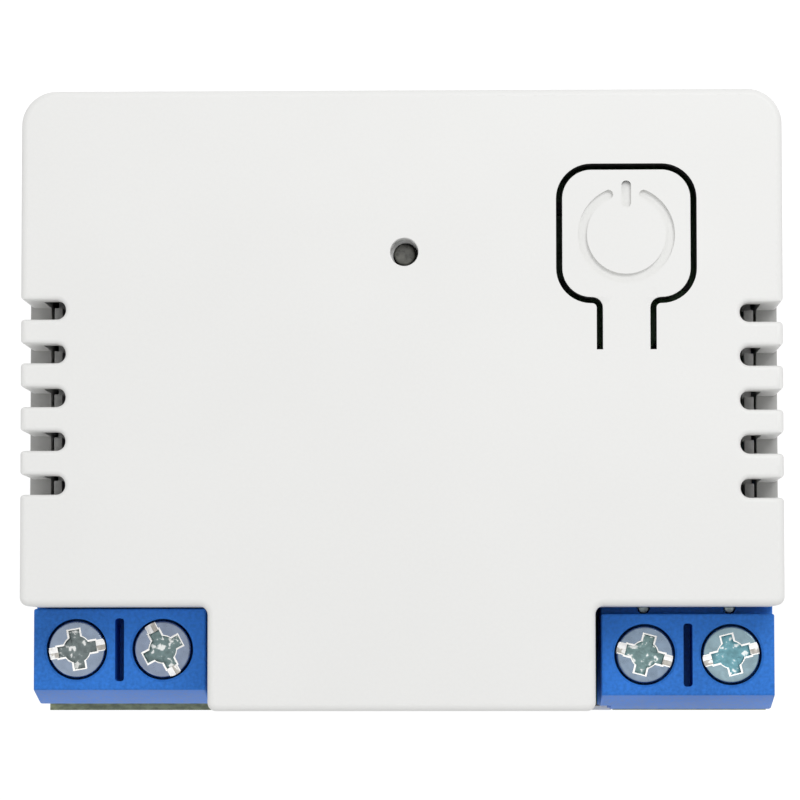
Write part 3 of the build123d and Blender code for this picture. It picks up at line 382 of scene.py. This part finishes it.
relay_black = moulded("relay_black", (0.015, 0.015, 0.017, 1.0), 0.4, 0.08)
soft_iron = metal("soft_iron", (0.5, 0.49, 0.47, 1.0), 0.35)
bobbin_nylon = moulded("bobbin_nylon", (0.7, 0.66, 0.55, 1.0), 0.45)
spring_bronze = metal("spring_bronze", (0.72, 0.42, 0.17, 1.0), 0.28, 0.1, rolled_marks)
contact_silver = metal("contact_silver", (0.85, 0.84, 0.8, 1.0), 0.2)
tinned_brass = metal("tinned_brass", (0.72, 0.68, 0.58, 1.0), 0.28)
dress(relay_black, "relay_cover", "relay_base")
dress(soft_iron, "relay_yoke", "relay_core", "relay_armature")
dress(bobbin_nylon, "relay_bobbin")
dress(enamelled_copper, "relay_winding")
dress(spring_bronze, "relay_contact_leaf", "relay_hinge_spring")
dress(contact_silver, "relay_moving_contact")
dress(tinned_brass, "relay_fixed_contact", "relay_coil_pins", "relay_common_pins")

# Headers and radio board: the upper board on its square pins, with the receiver chip, memory,
# crystal, ceramic antenna, push switch and status light soldered on its top.
gold_pin = metal("gold_pin", (0.83, 0.62, 0.28, 1.0), 0.22)
white_ceramic = moulded("white_ceramic", (0.75, 0.73, 0.66, 1.0), 0.3)
plunger_nylon = moulded("plunger_nylon", (0.7, 0.7, 0.66, 1.0), 0.4)
clear_resin = moulded("clear_resin", (0.78, 0.74, 0.55, 1.0), 0.15)
dress(board_material("radio_board_laminate", "radio_board"), "radio_board")
dress(black_epoxy, "header_body", "support_header_body", "radio_chip", "memory_chip",
      "tact_switch_body")
dress(gold_pin, "header_pins", "support_header_pins")
dress(can_aluminium, "crystal", "tact_dome")
dress(white_ceramic, "chip_antenna")
dress(plunger_nylon, "tact_plunger")
dress(clear_resin, "status_led")

# Contact bars and rising cages of the terminals: the tinned bar that the wire lies under, and
# the plated steel cage that the screw draws up round it. They show through the wire entries.
plated_steel = metal("plated_steel", (0.55, 0.57, 0.58, 1.0), 0.3)
pole_numbers = (1, 2, 3, 4)
for number in pole_numbers:
    dress(tinned_brass, f"contact_bar_{number}")
    dress(plated_steel, f"clamp_cage_{number}")

# Terminal housings: blue moulded two-pole blocks with a sloped front, a stepped back, a slot
# between the screws, wire entries in front and a small probe hole behind each screw.
block_blue = (0.031, 0.18, 0.62, 1.0)
pole_pitch = 5.0
block_height = 10.0
flat_front = 2.34
flat_back = 2.35
block_front = 3.18
block_back = 4.55
slope_drop = 3.4
step_drop = 1.5
block_edge = 0.12
well_diameter = 3.54
well_depth = 1.62
well_flare = 0.12
ledge_diameter = 2.8
slot_width = 0.53
slot_front = -1.855
slot_back = 1.795
slot_depth = 3.0
probe_diameter = 0.72
probe_depth = 1.0
corner_notch_width = 0.62
corner_notch_depth = 0.2
chamber_half = 1.95
chamber_front = -2.1
chamber_back = 2.1
chamber_floor = 0.5
chamber_top = 8.0
entry_half = 1.6
entry_floor = 0.9
entry_top = 4.3
entry_flare = 0.3
bar_slot_half = 1.2
bar_slot_back = 3.0
bar_slot_top = 4.45
entry_round = 0.25
probe_lift = 0.5

# For this piece and the later ones: how far a cutting tool runs past a face and joined shapes run
# into each other, how near to a place an edge or face is picked, and which edges count as sharp.
overrun = 1.0
overlap = 0.1
near = 0.01
hair = 0.001
sharp = 1.0
smooth_angle = 35.0
same_way = 0.9
ahead, down, up = Vector((0, -1, 0)), Vector((0, 0, -1)), Vector((0, 0, 1))


def pick(piece):
    """Selects one piece alone."""
    bpy.ops.object.select_all(action="DESELECT")
    piece.select_set(True)
    bpy.context.view_layer.objects.active = piece


def apply_place(piece):
    """Puts a new object's place, turn and size into its mesh."""
    pick(piece)
    bpy.ops.object.transform_apply(location=True, rotation=True, scale=True)


def newly_made(name):
    """The primitive that was just added, named, with its place in its mesh."""
    piece = bpy.context.object
    piece.name = name
    apply_place(piece)
    return piece


def block(name, low, high):
    """A box between two corners, in millimetres."""
    low, high = Vector(low), Vector(high)
    bpy.ops.mesh.primitive_cube_add(size=1, location=(low + high) / 2, scale=high - low)
    return newly_made(name)


def bar(name, x, y, low, high, diameter, sides=48):
    """An upright round bar, in millimetres."""
    bpy.ops.mesh.primitive_cylinder_add(vertices=sides, radius=diameter / 2, depth=high - low,
                                        location=(x, y, (low + high) / 2))
    return newly_made(name)


def edit(piece, kind, wanted):
    """Opens a piece for editing with its wanted edges or faces selected."""
    pick(piece)
    bpy.ops.object.mode_set(mode="EDIT")
    bpy.ops.mesh.select_mode(type=kind)
    bpy.ops.mesh.select_all(action="DESELECT")
    mesh = bmesh.from_edit_mesh(piece.data)
    for part in (mesh.edges if kind == "EDGE" else mesh.faces):
        part.select = wanted(part)
    mesh.select_flush_mode()
    bmesh.update_edit_mesh(piece.data)


def leave_edit():
    """Closes the piece that is being edited."""
    bpy.ops.object.mode_set(mode="OBJECT")


def middle(part):
    """The middle of an edge or a face."""
    points = [vert.co for vert in part.verts]
    return sum(points, Vector()) / len(points)


def is_upright(edge):
    """True for an edge along Z."""
    step = edge.verts[0].co - edge.verts[1].co
    return abs(step.x) + abs(step.y) < hair


def is_sharp(edge):
    """True for an edge between two faces that meet at a wide angle."""
    return edge.calc_face_angle(0) > sharp


def rim_at(level):
    """Picks the sharp edges that lie at one height."""
    return lambda edge: is_sharp(edge) and abs(middle(edge).z - level) < hair


def facing(way):
    """Picks the faces that look one way."""
    return lambda face: face.normal.dot(way) > same_way


def round_edges(piece, width, segments, wanted, clamp=True):
    """Rounds the wanted edges of a piece."""
    edit(piece, "EDGE", wanted)
    bpy.ops.mesh.bevel(offset=width, segments=segments, affect="EDGES", clamp_overlap=clamp)
    leave_edit()


def with_modifier(piece, kind, **settings):
    """Adds one modifier to a piece and applies it."""
    pick(piece)
    modifier = piece.modifiers.new(kind.lower(), kind)
    for name, value in settings.items():
        setattr(modifier, name, value)
    bpy.ops.object.modifier_apply(modifier=modifier.name)


def cut(piece, *tools):
    """Takes the tools away from a piece, whose cut faces get the tools' finish."""
    for tool in tools:
        with_modifier(piece, "BOOLEAN", operation="DIFFERENCE", solver="EXACT", object=tool,
                      material_mode="TRANSFER")
        bpy.data.objects.remove(tool)


def weld(piece, *others):
    """Adds other shapes to a piece."""
    for other in others:
        with_modifier(piece, "BOOLEAN", operation="UNION", solver="EXACT", object=other,
                      material_mode="TRANSFER")
        bpy.data.objects.remove(other)


def paint(piece, material):
    """Gives a whole piece or cutting tool one finish."""
    piece.data.materials.clear()
    piece.data.materials.append(material)


def paint_faces(piece, material, wanted):
    """Gives the wanted faces of a painted piece another finish."""
    piece.data.materials.append(material)
    piece.active_material_index = len(piece.data.materials) - 1
    edit(piece, "FACE", wanted)
    bpy.ops.object.material_slot_assign()
    leave_edit()


def settle(piece, body, *nodes):
    """Finishes a painted piece drawn in millimetres: true size, smooth rounds, body, CAD node."""
    piece.scale = (mm, mm, mm)
    apply_place(piece)
    bpy.ops.object.shade_smooth_by_angle(angle=radians(smooth_angle))
    with_modifier(piece, "WEIGHTED_NORMAL", keep_sharp=True)
    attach(piece, body)
    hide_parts(*nodes)


def in_mm(node):
    """The lowest and highest corners of a CAD node, in millimetres."""
    low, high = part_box(node)
    return Vector(low) / mm, Vector(high) / mm


def housing(name, notched):
    """One blue block, drawn about its screw line and moved to its CAD place."""
    half = pole_pitch
    piece = block(name, (-half, -flat_front, 0), (half, flat_back, block_height))
    edit(piece, "FACE", facing(ahead))
    bpy.ops.mesh.extrude_region_move(
        TRANSFORM_OT_translate={"value": (0, flat_front - block_front, 0)})
    leave_edit()
    edit(piece, "EDGE", lambda edge: middle(edge).y < near - block_front
         and middle(edge).z > block_height - near)
    bpy.ops.transform.translate(value=(0, 0, -slope_drop))
    leave_edit()
    step_top = block_height - step_drop
    above = block_height + overrun
    weld(piece, block("step", (-half, flat_back - overrun, 0), (half, block_back, step_top)))
    round_edges(piece, block_edge, 3, lambda edge: is_sharp(edge) and middle(edge).z > near)
    middle_slot = block("slot", (-slot_width / 2, slot_front, block_height - slot_depth),
                        (slot_width / 2, slot_back, above))
    round_edges(middle_slot, slot_width / 3, 4, is_upright)
    cut(piece, middle_slot)
    for x in (-pole_pitch / 2, pole_pitch / 2):
        well = bar("well", x, 0, block_height - well_depth, above, well_diameter, 64)
        mouth = bar("mouth", x, 0, block_height - well_flare, above, well_diameter, 64)
        edit(mouth, "FACE", facing(up))
        grow = 1 + 2 * (overrun + well_flare) / well_diameter
        bpy.ops.transform.resize(value=(grow, grow, 1), center_override=(x, 0, block_height))
        leave_edit()
        probe_hole = bar("probe_hole", x, flat_back + probe_diameter / 2, step_top - probe_depth,
                         step_top + probe_lift, probe_diameter, 32)
        ledge = bar("ledge", x, 0, chamber_top - overlap, block_height, ledge_diameter)
        chamber = block("chamber", (x - chamber_half, chamber_front, chamber_floor),
                        (x + chamber_half, chamber_back, chamber_top))
        entry = block("entry", (x - entry_half, -block_front - overrun, entry_floor),
                      (x + entry_half, chamber_front + overlap, entry_top))
        round_edges(entry, entry_round, 4, lambda edge: abs(edge.verts[0].co.y
                                                            - edge.verts[1].co.y) > near)
        flare = block("flare", (x - entry_half, -block_front - entry_flare, entry_floor),
                      (x + entry_half, -block_front + entry_flare, entry_top))
        edit(flare, "FACE", facing(ahead))
        wide = 1 + 2 * entry_flare / entry_half
        tall = 1 + 4 * entry_flare / (entry_top - entry_floor)
        bpy.ops.transform.resize(value=(wide, 1, tall),
                                 center_override=(x, 0, (entry_floor + entry_top) / 2))
        leave_edit()
        leg = block("leg", (x - bar_slot_half, chamber_back - overlap, -overlap),
                    (x + bar_slot_half, bar_slot_back, bar_slot_top))
        cut(piece, well, mouth, probe_hole, ledge, chamber, entry, flare, leg)
    if notched:
        cut(piece, block("corner_notch", (-half - overrun, -block_front - overrun, -overrun),
                         (corner_notch_width - half, corner_notch_depth - block_front, above)))
    paint(piece, housing_blue)
    return piece


probe_point_drop = 0.15
probe_point_height = 0.2
probe_point_gap = 0.02
probe_point_round = 0.12
side_of = {"left": -1, "right": 1}
housing_blue = moulded("housing_blue", block_blue, 0.42, spread=0.22, grain=4800.0,
                       depth=0.003 * mm, Specular_IOR_Level=0.14)
probe_metal = metal("probe_metal", (0.42, 0.50, 0.50, 1.0), 0.4)
for side in ("left", "right"):
    node = f"terminal_housing_{side}"
    low, high = in_mm(node)
    piece = housing(f"blue_block_{side}", side == "right")
    piece.location = ((low.x + high.x) / 2, low.y + block_front, low.z)
    apply_place(piece)
    settle(piece, "case", node)
    for x in (-pole_pitch / 2, pole_pitch / 2):
        probe_y = low.y + block_front + flat_back + probe_diameter / 2
        probe_top = high.z - step_drop - probe_point_drop
        point = bar(f"probe_point_{side}_{'outer' if x * side_of[side] > 0 else 'inner'}",
                    (low.x + high.x) / 2 + x, probe_y, probe_top - probe_point_height, probe_top,
                    probe_diameter - probe_point_gap, 32)
        round_edges(point, probe_point_round, 3, rim_at(probe_top))
        paint(point, probe_metal)
        settle(point, "case")

# Terminal screws: zinc-plated M2.5 clamping screws with a round head, pressed by heading. Each has
# one slot right across it and a cross recess with sloped walls, so that either driver fits. The
# rims of the recess and one half of each slot floor are painted near-white as highlights; the other
# half of the slot floor is a darker brownish grey, and the recess has a darker greenish tone that
# is partly painted shade. Both carry painted glint spots, and each screw was plated apart.
head_diameter = 3.3
head_height = 1.45
head_round = 0.14
shank_diameter = 2.5
drive_slot_width = 0.56
drive_slot_depth = 0.3
cross_width = 0.66
cross_reach = 1.2
cross_depth = 0.6
cross_taper = 0.9
dish_radius = 0.82
dish_depth = 0.5
rim_width = 0.13
rim_depth = 0.07
dish_taper = 0.9
highlight_half_depth_share = 0.8
recess_room = 0.4
shank_round = 0.25
seam = 0.01
even_marks = (2500.0, 2500.0, 2500.0)
scraped_marks = (6000.0, 900.0, 900.0)
screw_turns = (10.0, 118.0, -15.0, 14.0)
head_colours = ((0.29, 0.35, 0.45, 1.0), (0.26, 0.31, 0.41, 1.0), (0.24, 0.31, 0.40, 1.0),
                (0.27, 0.38, 0.43, 1.0))
# Recess colours: a darker, greener chromate tone that is partly real and partly painted shade in
# the hollow; the recess finish also carries painted glint spots.
recess_tones_and_shade = ((0.22, 0.26, 0.26, 1.0), (0.21, 0.29, 0.29, 1.0), (0.22, 0.33, 0.33, 1.0),
                  (0.20, 0.42, 0.48, 1.0))


def frustum(name, low, high, low_radius, high_radius):
    """An upright tapered bar about Z, in millimetres."""
    bpy.ops.mesh.primitive_cone_add(vertices=32, radius1=low_radius, radius2=high_radius,
                                    depth=high - low, location=(0, 0, (low + high) / 2))
    return newly_made(name)


def cross_arm(name, across, grow, depth):
    """One arm of the cross recess, or with grow, of its rim, narrower at its bottom."""
    long = cross_reach + grow
    short = cross_width / 2 + grow
    reach = (long, short) if across else (short, long)
    arm = block(name, (-reach[0], -reach[1], -depth), (reach[0], reach[1], recess_room))
    edit(arm, "FACE", facing(down))
    bpy.ops.transform.resize(value=(cross_taper, cross_taper, 1), center_override=(0, 0, 0))
    leave_edit()
    return arm


def groove(name, low, high, depth):
    """A straight slot across the head, between two places across it."""
    return block(name, (-head_diameter, low, -depth), (head_diameter, high, overrun))


def screw(name, length, head_finish, recess_shade_glint_finish):
    """One screw with its head's top at zero."""
    piece = bar(name, 0, 0, -head_height, 0, head_diameter, 96)
    paint(piece, head_finish)
    round_edges(piece, head_round, 4, rim_at(0))
    half = drive_slot_width / 2
    highlight_rims = (groove("rim", -half - rim_width / 2, half + rim_width / 2, rim_depth),
            cross_arm("rim", True, rim_width, rim_depth),
            cross_arm("rim", False, rim_width, rim_depth),
            frustum("rim", -rim_depth, recess_room, dish_radius, dish_radius + rim_width))
    recess = (cross_arm("arm", True, 0, cross_depth), cross_arm("arm", False, 0, cross_depth),
              frustum("dish", -dish_depth, recess_room, dish_radius * dish_taper, dish_radius))
    slot = groove("slot", -half, seam, drive_slot_depth)
    highlight_half = groove("highlight_half", 0, half, drive_slot_depth * highlight_half_depth_share)
    # The rims and the shallower half of the slot floor are painted near-white as highlights; the
    # deeper half gets the darker slot zinc with painted glint spots.
    for tool in highlight_rims:
        paint(tool, painted_highlight_metal)
    for tool in recess:
        paint(tool, recess_shade_glint_finish)
    paint(slot, dark_slot_zinc_glints)
    paint(highlight_half, painted_highlight_metal)
    cut(piece, *highlight_rims, slot, highlight_half, *recess)
    shank = bar("shank", 0, 0, -length, seam - head_height, shank_diameter)
    paint(shank, head_finish)
    round_edges(shank, shank_round, 2, rim_at(-length))
    weld(piece, shank)
    return piece


# A darker brownish zinc with painted glint spots for one half of the slot floor, and a near-white
# metal that is painted highlight for the rims and the other half.
dark_slot_zinc_glints = metal("dark_slot_zinc_glints", (0.62, 0.59, 0.54, 1.0), 0.5, spread=0.35, marks=scraped_marks,
                  depth=0.006 * mm, clouds=2400.0, glint=0.9)
painted_highlight_metal = metal("painted_highlight_metal", (1.0, 0.99, 0.97, 1.0), 0.6, spread=0.06, clouds=1800.0)
for number, turn, head_colour, recess_colour in zip(pole_numbers, screw_turns, head_colours,
                                                    recess_tones_and_shade):
    node = f"terminal_screw_{number}"
    low, high = in_mm(node)
    head_finish = metal(f"zinc_plate_{number}", head_colour, 0.3, spread=0.15, marks=even_marks,
                        depth=0.004 * mm, clouds=1500.0)
    recess_shade_glint_finish = metal(f"recess_zinc_{number}", recess_colour, 0.35, spread=0.35,
                          marks=even_marks, depth=0.02 * mm, clouds=2600.0, glint=0.8)
    piece = screw(f"clamp_screw_{number}", high.z - low.z, head_finish, recess_shade_glint_finish)
    piece.rotation_euler = (0, 0, radians(turn))
    piece.location = ((low.x + high.x) / 2, (low.y + high.y) / 2, high.z)
    apply_place(piece)
    settle(piece, f"screw_{number}", node)

# Top cover: one white moulding, a T-shaped shell with rounded edges, five vents in each side
# edge, the light hole and the window of the button. It snaps over the hooks of the base.
wall = 1.2
top_thickness = 1.3
nose_gap = 0.48
back_corner = 2.0
front_corner = 0.5
top_round = 0.4
board_way_gap = 0.2
bay_gap = 0.2
bay_depth = 5.96
vent_count = 5
vent_pitch = 2.5
vent_middles = {-1: 0.15, 1: -0.09}
vent_half = 0.55
vent_reaches = {-1: 2.58, 1: 2.46}
vent_depth = 5.0
vent_corner = 0.28
vent_end_share = 0.96
vent_lip = 0.002
light_hole = 1.6
light_round = 0.05
window_depth = 3.0
tongue_slot = 0.35
pad_length = 7.28
pad_corner = 1.65
neck_half = 1.35
shoulder_round = 0.6
collar_low = 17.1
collar_diameter = 3.9
collar_bore = 2.7

cover_low, cover_high = in_mm("top_cover")
block_high = in_mm("terminal_housing_left")[1]
board_high = in_mm("power_board")[1]
tongue_low, tongue_high = in_mm("button_tongue")
plunger_low, plunger_high = in_mm("tact_plunger")
pipe_low, pipe_high = in_mm("light_pipe")
nose_half = -block_high.x - nose_gap
bay_line = cover_low.y + bay_depth
bay_top = block_high.z - step_drop + bay_gap
bay_back = block_high.y + bay_gap
light_x = (pipe_low.x + pipe_high.x) / 2
light_y = (pipe_low.y + pipe_high.y) / 2
tongue_x = (tongue_low.x + tongue_high.x) / 2
pad_half_width = (tongue_high.x - tongue_low.x) / 2
pad_top = tongue_high.y
pad_bottom = pad_top - pad_length
neck_root = tongue_low.y
press_y = (plunger_low.y + plunger_high.y) / 2


def t_shape(name, inset, low, high):
    """The T-shaped block of the case, smaller all round by inset."""
    side = cover_high.x - inset
    nose = nose_half - inset
    shoulder = bay_line + inset
    piece = block(name, (-side, shoulder, low), (side, cover_high.y - inset, high))
    for x in (-nose, nose):
        edit(piece, "FACE", lambda face: True)
        bpy.ops.mesh.bisect(plane_co=(x, 0, 0), plane_no=(1, 0, 0))
        leave_edit()
    edit(piece, "FACE", lambda face: facing(ahead)(face) and abs(middle(face).x) < nose)
    bpy.ops.mesh.extrude_region_move(
        TRANSFORM_OT_translate={"value": (0, cover_low.y + inset - shoulder, 0)})
    leave_edit()
    edit(piece, "FACE", lambda face: True)
    bpy.ops.mesh.dissolve_limited(angle_limit=radians(1))
    leave_edit()
    corner = max(back_corner - inset, front_corner)
    round_edges(piece, corner, 12, lambda edge: is_upright(edge) and middle(edge).y > 0)
    round_edges(piece, front_corner, 6, lambda edge: is_upright(edge) and middle(edge).y < 0)
    return piece


def tongue_shape(name, grow, low, high):
    """The plan of the button tongue, or with grow, of its window, as a block."""
    piece = block(name, (tongue_x - pad_half_width - grow, pad_bottom - grow, low),
                  (tongue_x + pad_half_width + grow, pad_top + grow, high))
    half = neck_half + grow
    round_edges(piece, pad_corner + grow, 12, is_upright)
    neck = block("neck", (tongue_x - half, neck_root, low),
                 (tongue_x + half, pad_bottom + overrun, high))
    weld(piece, neck)
    round_edges(piece, shoulder_round - grow, 6, lambda edge: is_upright(edge)
                and abs(abs(middle(edge).x - tongue_x) - half) < near
                and abs(middle(edge).y - pad_bottom + grow) < near)
    return piece


def vent_tool(side, y):
    """One vent's slot, with a round inner end and an eased mouth. Its floor gets a darker, rougher
    grey, the grey being painted shade.
    """
    inner = side * (cover_high.x - vent_reaches[side])
    outer = side * (cover_high.x + overrun)
    low = cover_high.z - vent_depth
    top = cover_high.z + vent_lip
    above = top + overrun
    flank = side * (cover_high.x + vent_lip)
    tool = block("vent", (min(inner, outer), y - vent_half, low),
                 (max(inner, outer), y + vent_half, above))
    round_edges(tool, vent_half * vent_end_share, 8, lambda edge: is_upright(edge)
                and abs(middle(edge).x - inner) < near)
    deep = inner - side * overrun
    over = block("over", (min(deep, outer), y - overrun, top),
                 (max(deep, outer), y + overrun, above))
    beside = block("beside", (min(flank, outer), y - overrun, low),
                   (max(flank, outer), y + overrun, above))
    weld(tool, over, beside)
    round_edges(tool, vent_corner, 5, lambda edge: is_sharp(edge) and not edge.is_convex
                and abs(middle(edge).y - y) < vent_half + near, clamp=False)
    paint(tool, cover_white)
    # The vent's floor is painted darker grey: painted shade deep in the slot.
    paint_faces(tool, vent_floor_painted_shade, lambda face: facing(down)(face) and middle(face).z < low + near)
    return tool


cover_white = moulded("cover_white", (0.81, 0.81, 0.797, 1.0), 0.5, spread=0.012)
# Darker grey painted shade for the vent floors.
vent_floor_painted_shade = moulded("vent_floor_painted_shade", (0.5, 0.5, 0.49, 1.0), 0.7, spread=0.1, grain=1200.0)
# Near-black painted shade for the walls of the button's slot.
slot_wall_painted_shade = moulded("slot_wall_painted_shade", (0.06, 0.06, 0.06, 1.0), 0.7)
cover = t_shape("white_cover", 0, cover_low.z, cover_high.z)
round_edges(cover, top_round, 6, rim_at(cover_high.z))
paint(cover, cover_white)
vent_steps = [(i - (vent_count - 1) / 2) * vent_pitch for i in range(vent_count)]
for side, vent_middle in vent_middles.items():
    for step in vent_steps:
        cut(cover, vent_tool(side, vent_middle + step))
ceiling = cover_high.z - top_thickness
cavity = t_shape("cavity", wall, cover_low.z - overrun, ceiling)
cut(cover, cavity)
for side in (-1, 1):
    left, right = sorted((side * nose_half, side * (cover_high.x + overrun)))
    cut(cover, block("bay", (left, cover_low.y - overrun, cover_low.z - overrun),
                     (right, bay_back, bay_top)))
    left, right = sorted((side * (nose_half - wall - front_corner), side * (nose_half + near)))
    cut(cover, block("board_way", (left, cover_low.y + wall, cover_low.z - overrun),
                     (right, bay_back, board_high.z + board_way_gap)))
weld(cover, bar("collar", light_x, light_y, collar_low, ceiling + overlap, collar_diameter))
cut(cover, bar("collar_bore", light_x, light_y, collar_low - overrun, ceiling, collar_bore),
    bar("light_hole", light_x, light_y, 0, cover_high.z + overrun, light_hole, 64))
light_middle = Vector((light_x, light_y, cover_high.z))
round_edges(cover, light_round, 3, lambda edge: rim_at(cover_high.z)(edge)
            and (middle(edge) - light_middle).length < light_hole)
window = tongue_shape("window", tongue_slot, cover_high.z - window_depth, cover_high.z + overrun)
# The window's walls are painted near-black: painted shade in the narrow slot.
paint(window, slot_wall_painted_shade)
cut(cover, window)
settle(cover, "case", "top_cover")

# Dust walls: a low moulded wall stands just inside each side of the case, behind the vents. It
# has a taller tooth behind each vent, which shows through it.
dust_wall_spans = {-1: (0.38, 0.84), 1: (0.28, 0.82)}
dust_wall_drop = 5.5
dust_wall_height = 1.0
dust_wall_margin = 1.1
tooth_drop = 3.4
tooth_half = 0.4
dust_wall_round = 0.06

dust_grey = moulded("dust_grey", (0.62, 0.62, 0.61, 1.0), 0.6, spread=0.2, grain=1500.0)
for side, vent_middle in vent_middles.items():
    edges = sorted(side * (cover_high.x - wall - reach) for reach in dust_wall_spans[side])
    ends = [vent_middle + end * (vent_steps[-1] + dust_wall_margin) for end in (-1, 1)]
    top = cover_high.z - dust_wall_drop
    strip = block(f"dust_wall_{'right' if side > 0 else 'left'}",
                  (edges[0], ends[0], top - dust_wall_height), (edges[1], ends[1], top))
    teeth = [block("tooth", (edges[0], vent_middle + step - tooth_half, top - overlap),
                   (edges[1], vent_middle + step + tooth_half, cover_high.z - tooth_drop))
             for step in vent_steps]
    weld(strip, *teeth)
    round_edges(strip, dust_wall_round, 2, is_sharp)
    paint(strip, dust_grey)
    settle(strip, "case")

# Button tongue: part of the same moulding, held only by its thin neck. The round boss under its
# pad presses the switch, and the usual open ring and bar are sunk into its face.
neck_thickness = 0.9
tongue_round = 0.07
upright_limit = 0.3
sign_margin = 0.1
relief_half = 5.0
relief_low = 10.0
boss_diameter = 2.4
boss_round = 0.4
sign_y = 9.34
sign_depth = 0.3
ring_outer = 2.76
ring_inner = 2.24
ring_gap_half = 1.0
bar_half_width = 0.275
bar_low = 10.89
bar_high = 12.42
bar_end_share = 0.98

tongue = tongue_shape("white_tongue", 0, ceiling, cover_high.z)
paint(tongue, cover_white)
round_edges(tongue, tongue_round, 2, lambda edge: rim_at(cover_high.z)(edge)
            and middle(edge).y > neck_root + near)
cut(tongue, block("relief", (tongue_x - relief_half, 0, relief_low),
                  (tongue_x + relief_half, pad_bottom, cover_high.z - neck_thickness)))
boss = bar("boss", tongue_x, press_y, tongue_low.z, ceiling + overlap, boss_diameter)
round_edges(boss, boss_round, 4, rim_at(tongue_low.z))
weld(tongue, boss)
sign_floor = cover_high.z - sign_depth
ring = bar("ring", tongue_x, sign_y, sign_floor, cover_high.z + overrun, 2 * ring_outer, 96)
ring_core = bar("ring_core", tongue_x, sign_y, cover_high.z - overrun,
                cover_high.z + 2 * overrun, 2 * ring_inner, 96)
opening = block("opening", (tongue_x - ring_gap_half, sign_y, cover_high.z - overrun),
                (tongue_x + ring_gap_half, sign_y + ring_outer + overrun,
                 cover_high.z + 2 * overrun))
cut(ring, ring_core, opening)
ring_middle = (ring_outer + ring_inner) / 2
for side in (-1, 1):
    end = bar("ring_end", tongue_x + side * ring_gap_half,
              sign_y + (ring_middle ** 2 - ring_gap_half ** 2) ** 0.5,
              sign_floor, cover_high.z + overrun, ring_outer - ring_inner, 32)
    weld(ring, end)
stroke = block("stroke", (tongue_x - bar_half_width, bar_low, sign_floor),
               (tongue_x + bar_half_width, bar_high, cover_high.z + overrun))
round_edges(stroke, bar_half_width * bar_end_share, 6, is_upright)
cut(tongue, ring, stroke)
# The tongue's upright walls, outside the sign, are painted near-black: painted shade in the slot.
paint_faces(tongue, slot_wall_painted_shade, lambda face: abs(face.normal.z) < upright_limit
            and middle(face).z > ceiling
            and (middle(face).xy - Vector((tongue_x, sign_y))).length > ring_outer + sign_margin)
settle(tongue, "button", "button_tongue")

# Light pipe: a moulded clear rod with a smoke-grey end, softly domed, in a thin near-black ring
# that is painted shade for the dark gap round the end. It is seated by its flange in the collar
# under the cover.
pipe_diameter = 1.5
pipe_end_diameter = 1.22
dome_round = 0.12
ring_diameter = 1.42
ring_shift = 0.06
ring_drop = 0.12
pipe_flange = 2.6
flange_low = 18.05
flange_drop = 0.22

black_shade_ring = moulded("black_shade_ring", (0.004, 0.004, 0.004, 1.0), 0.6, spread=0.1,
                       Specular_IOR_Level=0.1)
clear_plastic = moulded("clear_plastic", (0.95, 0.95, 0.94, 1.0), 0.25, spread=0.05, grain=2000.0)
smoke_plastic = moulded("smoke_plastic", (0.13, 0.13, 0.115, 1.0), 0.3, spread=0.55, grain=2500.0,
                        depth=0.02 * mm)
flange_top = pipe_high.z - flange_drop
pipe = bar("smoke_light_pipe", light_x, light_y, pipe_low.z, flange_low + overlap, pipe_diameter)
weld(pipe, bar("flange", light_x, light_y, flange_low, flange_top, pipe_flange))
paint(pipe, clear_plastic)
# A near-black ring round the end, set a little off centre: painted shade for the dark gap in the
# light hole.
ring = bar("ring", light_x + ring_shift, light_y - ring_shift, flange_top - overlap,
           pipe_high.z - ring_drop, ring_diameter)
paint(ring, black_shade_ring)
end = bar("end", light_x, light_y, flange_top - overlap, pipe_high.z, pipe_end_diameter)
round_edges(end, dome_round, 4, rim_at(pipe_high.z))
paint(end, smoke_plastic)
weld(pipe, ring, end)
settle(pipe, "case", "light_pipe")
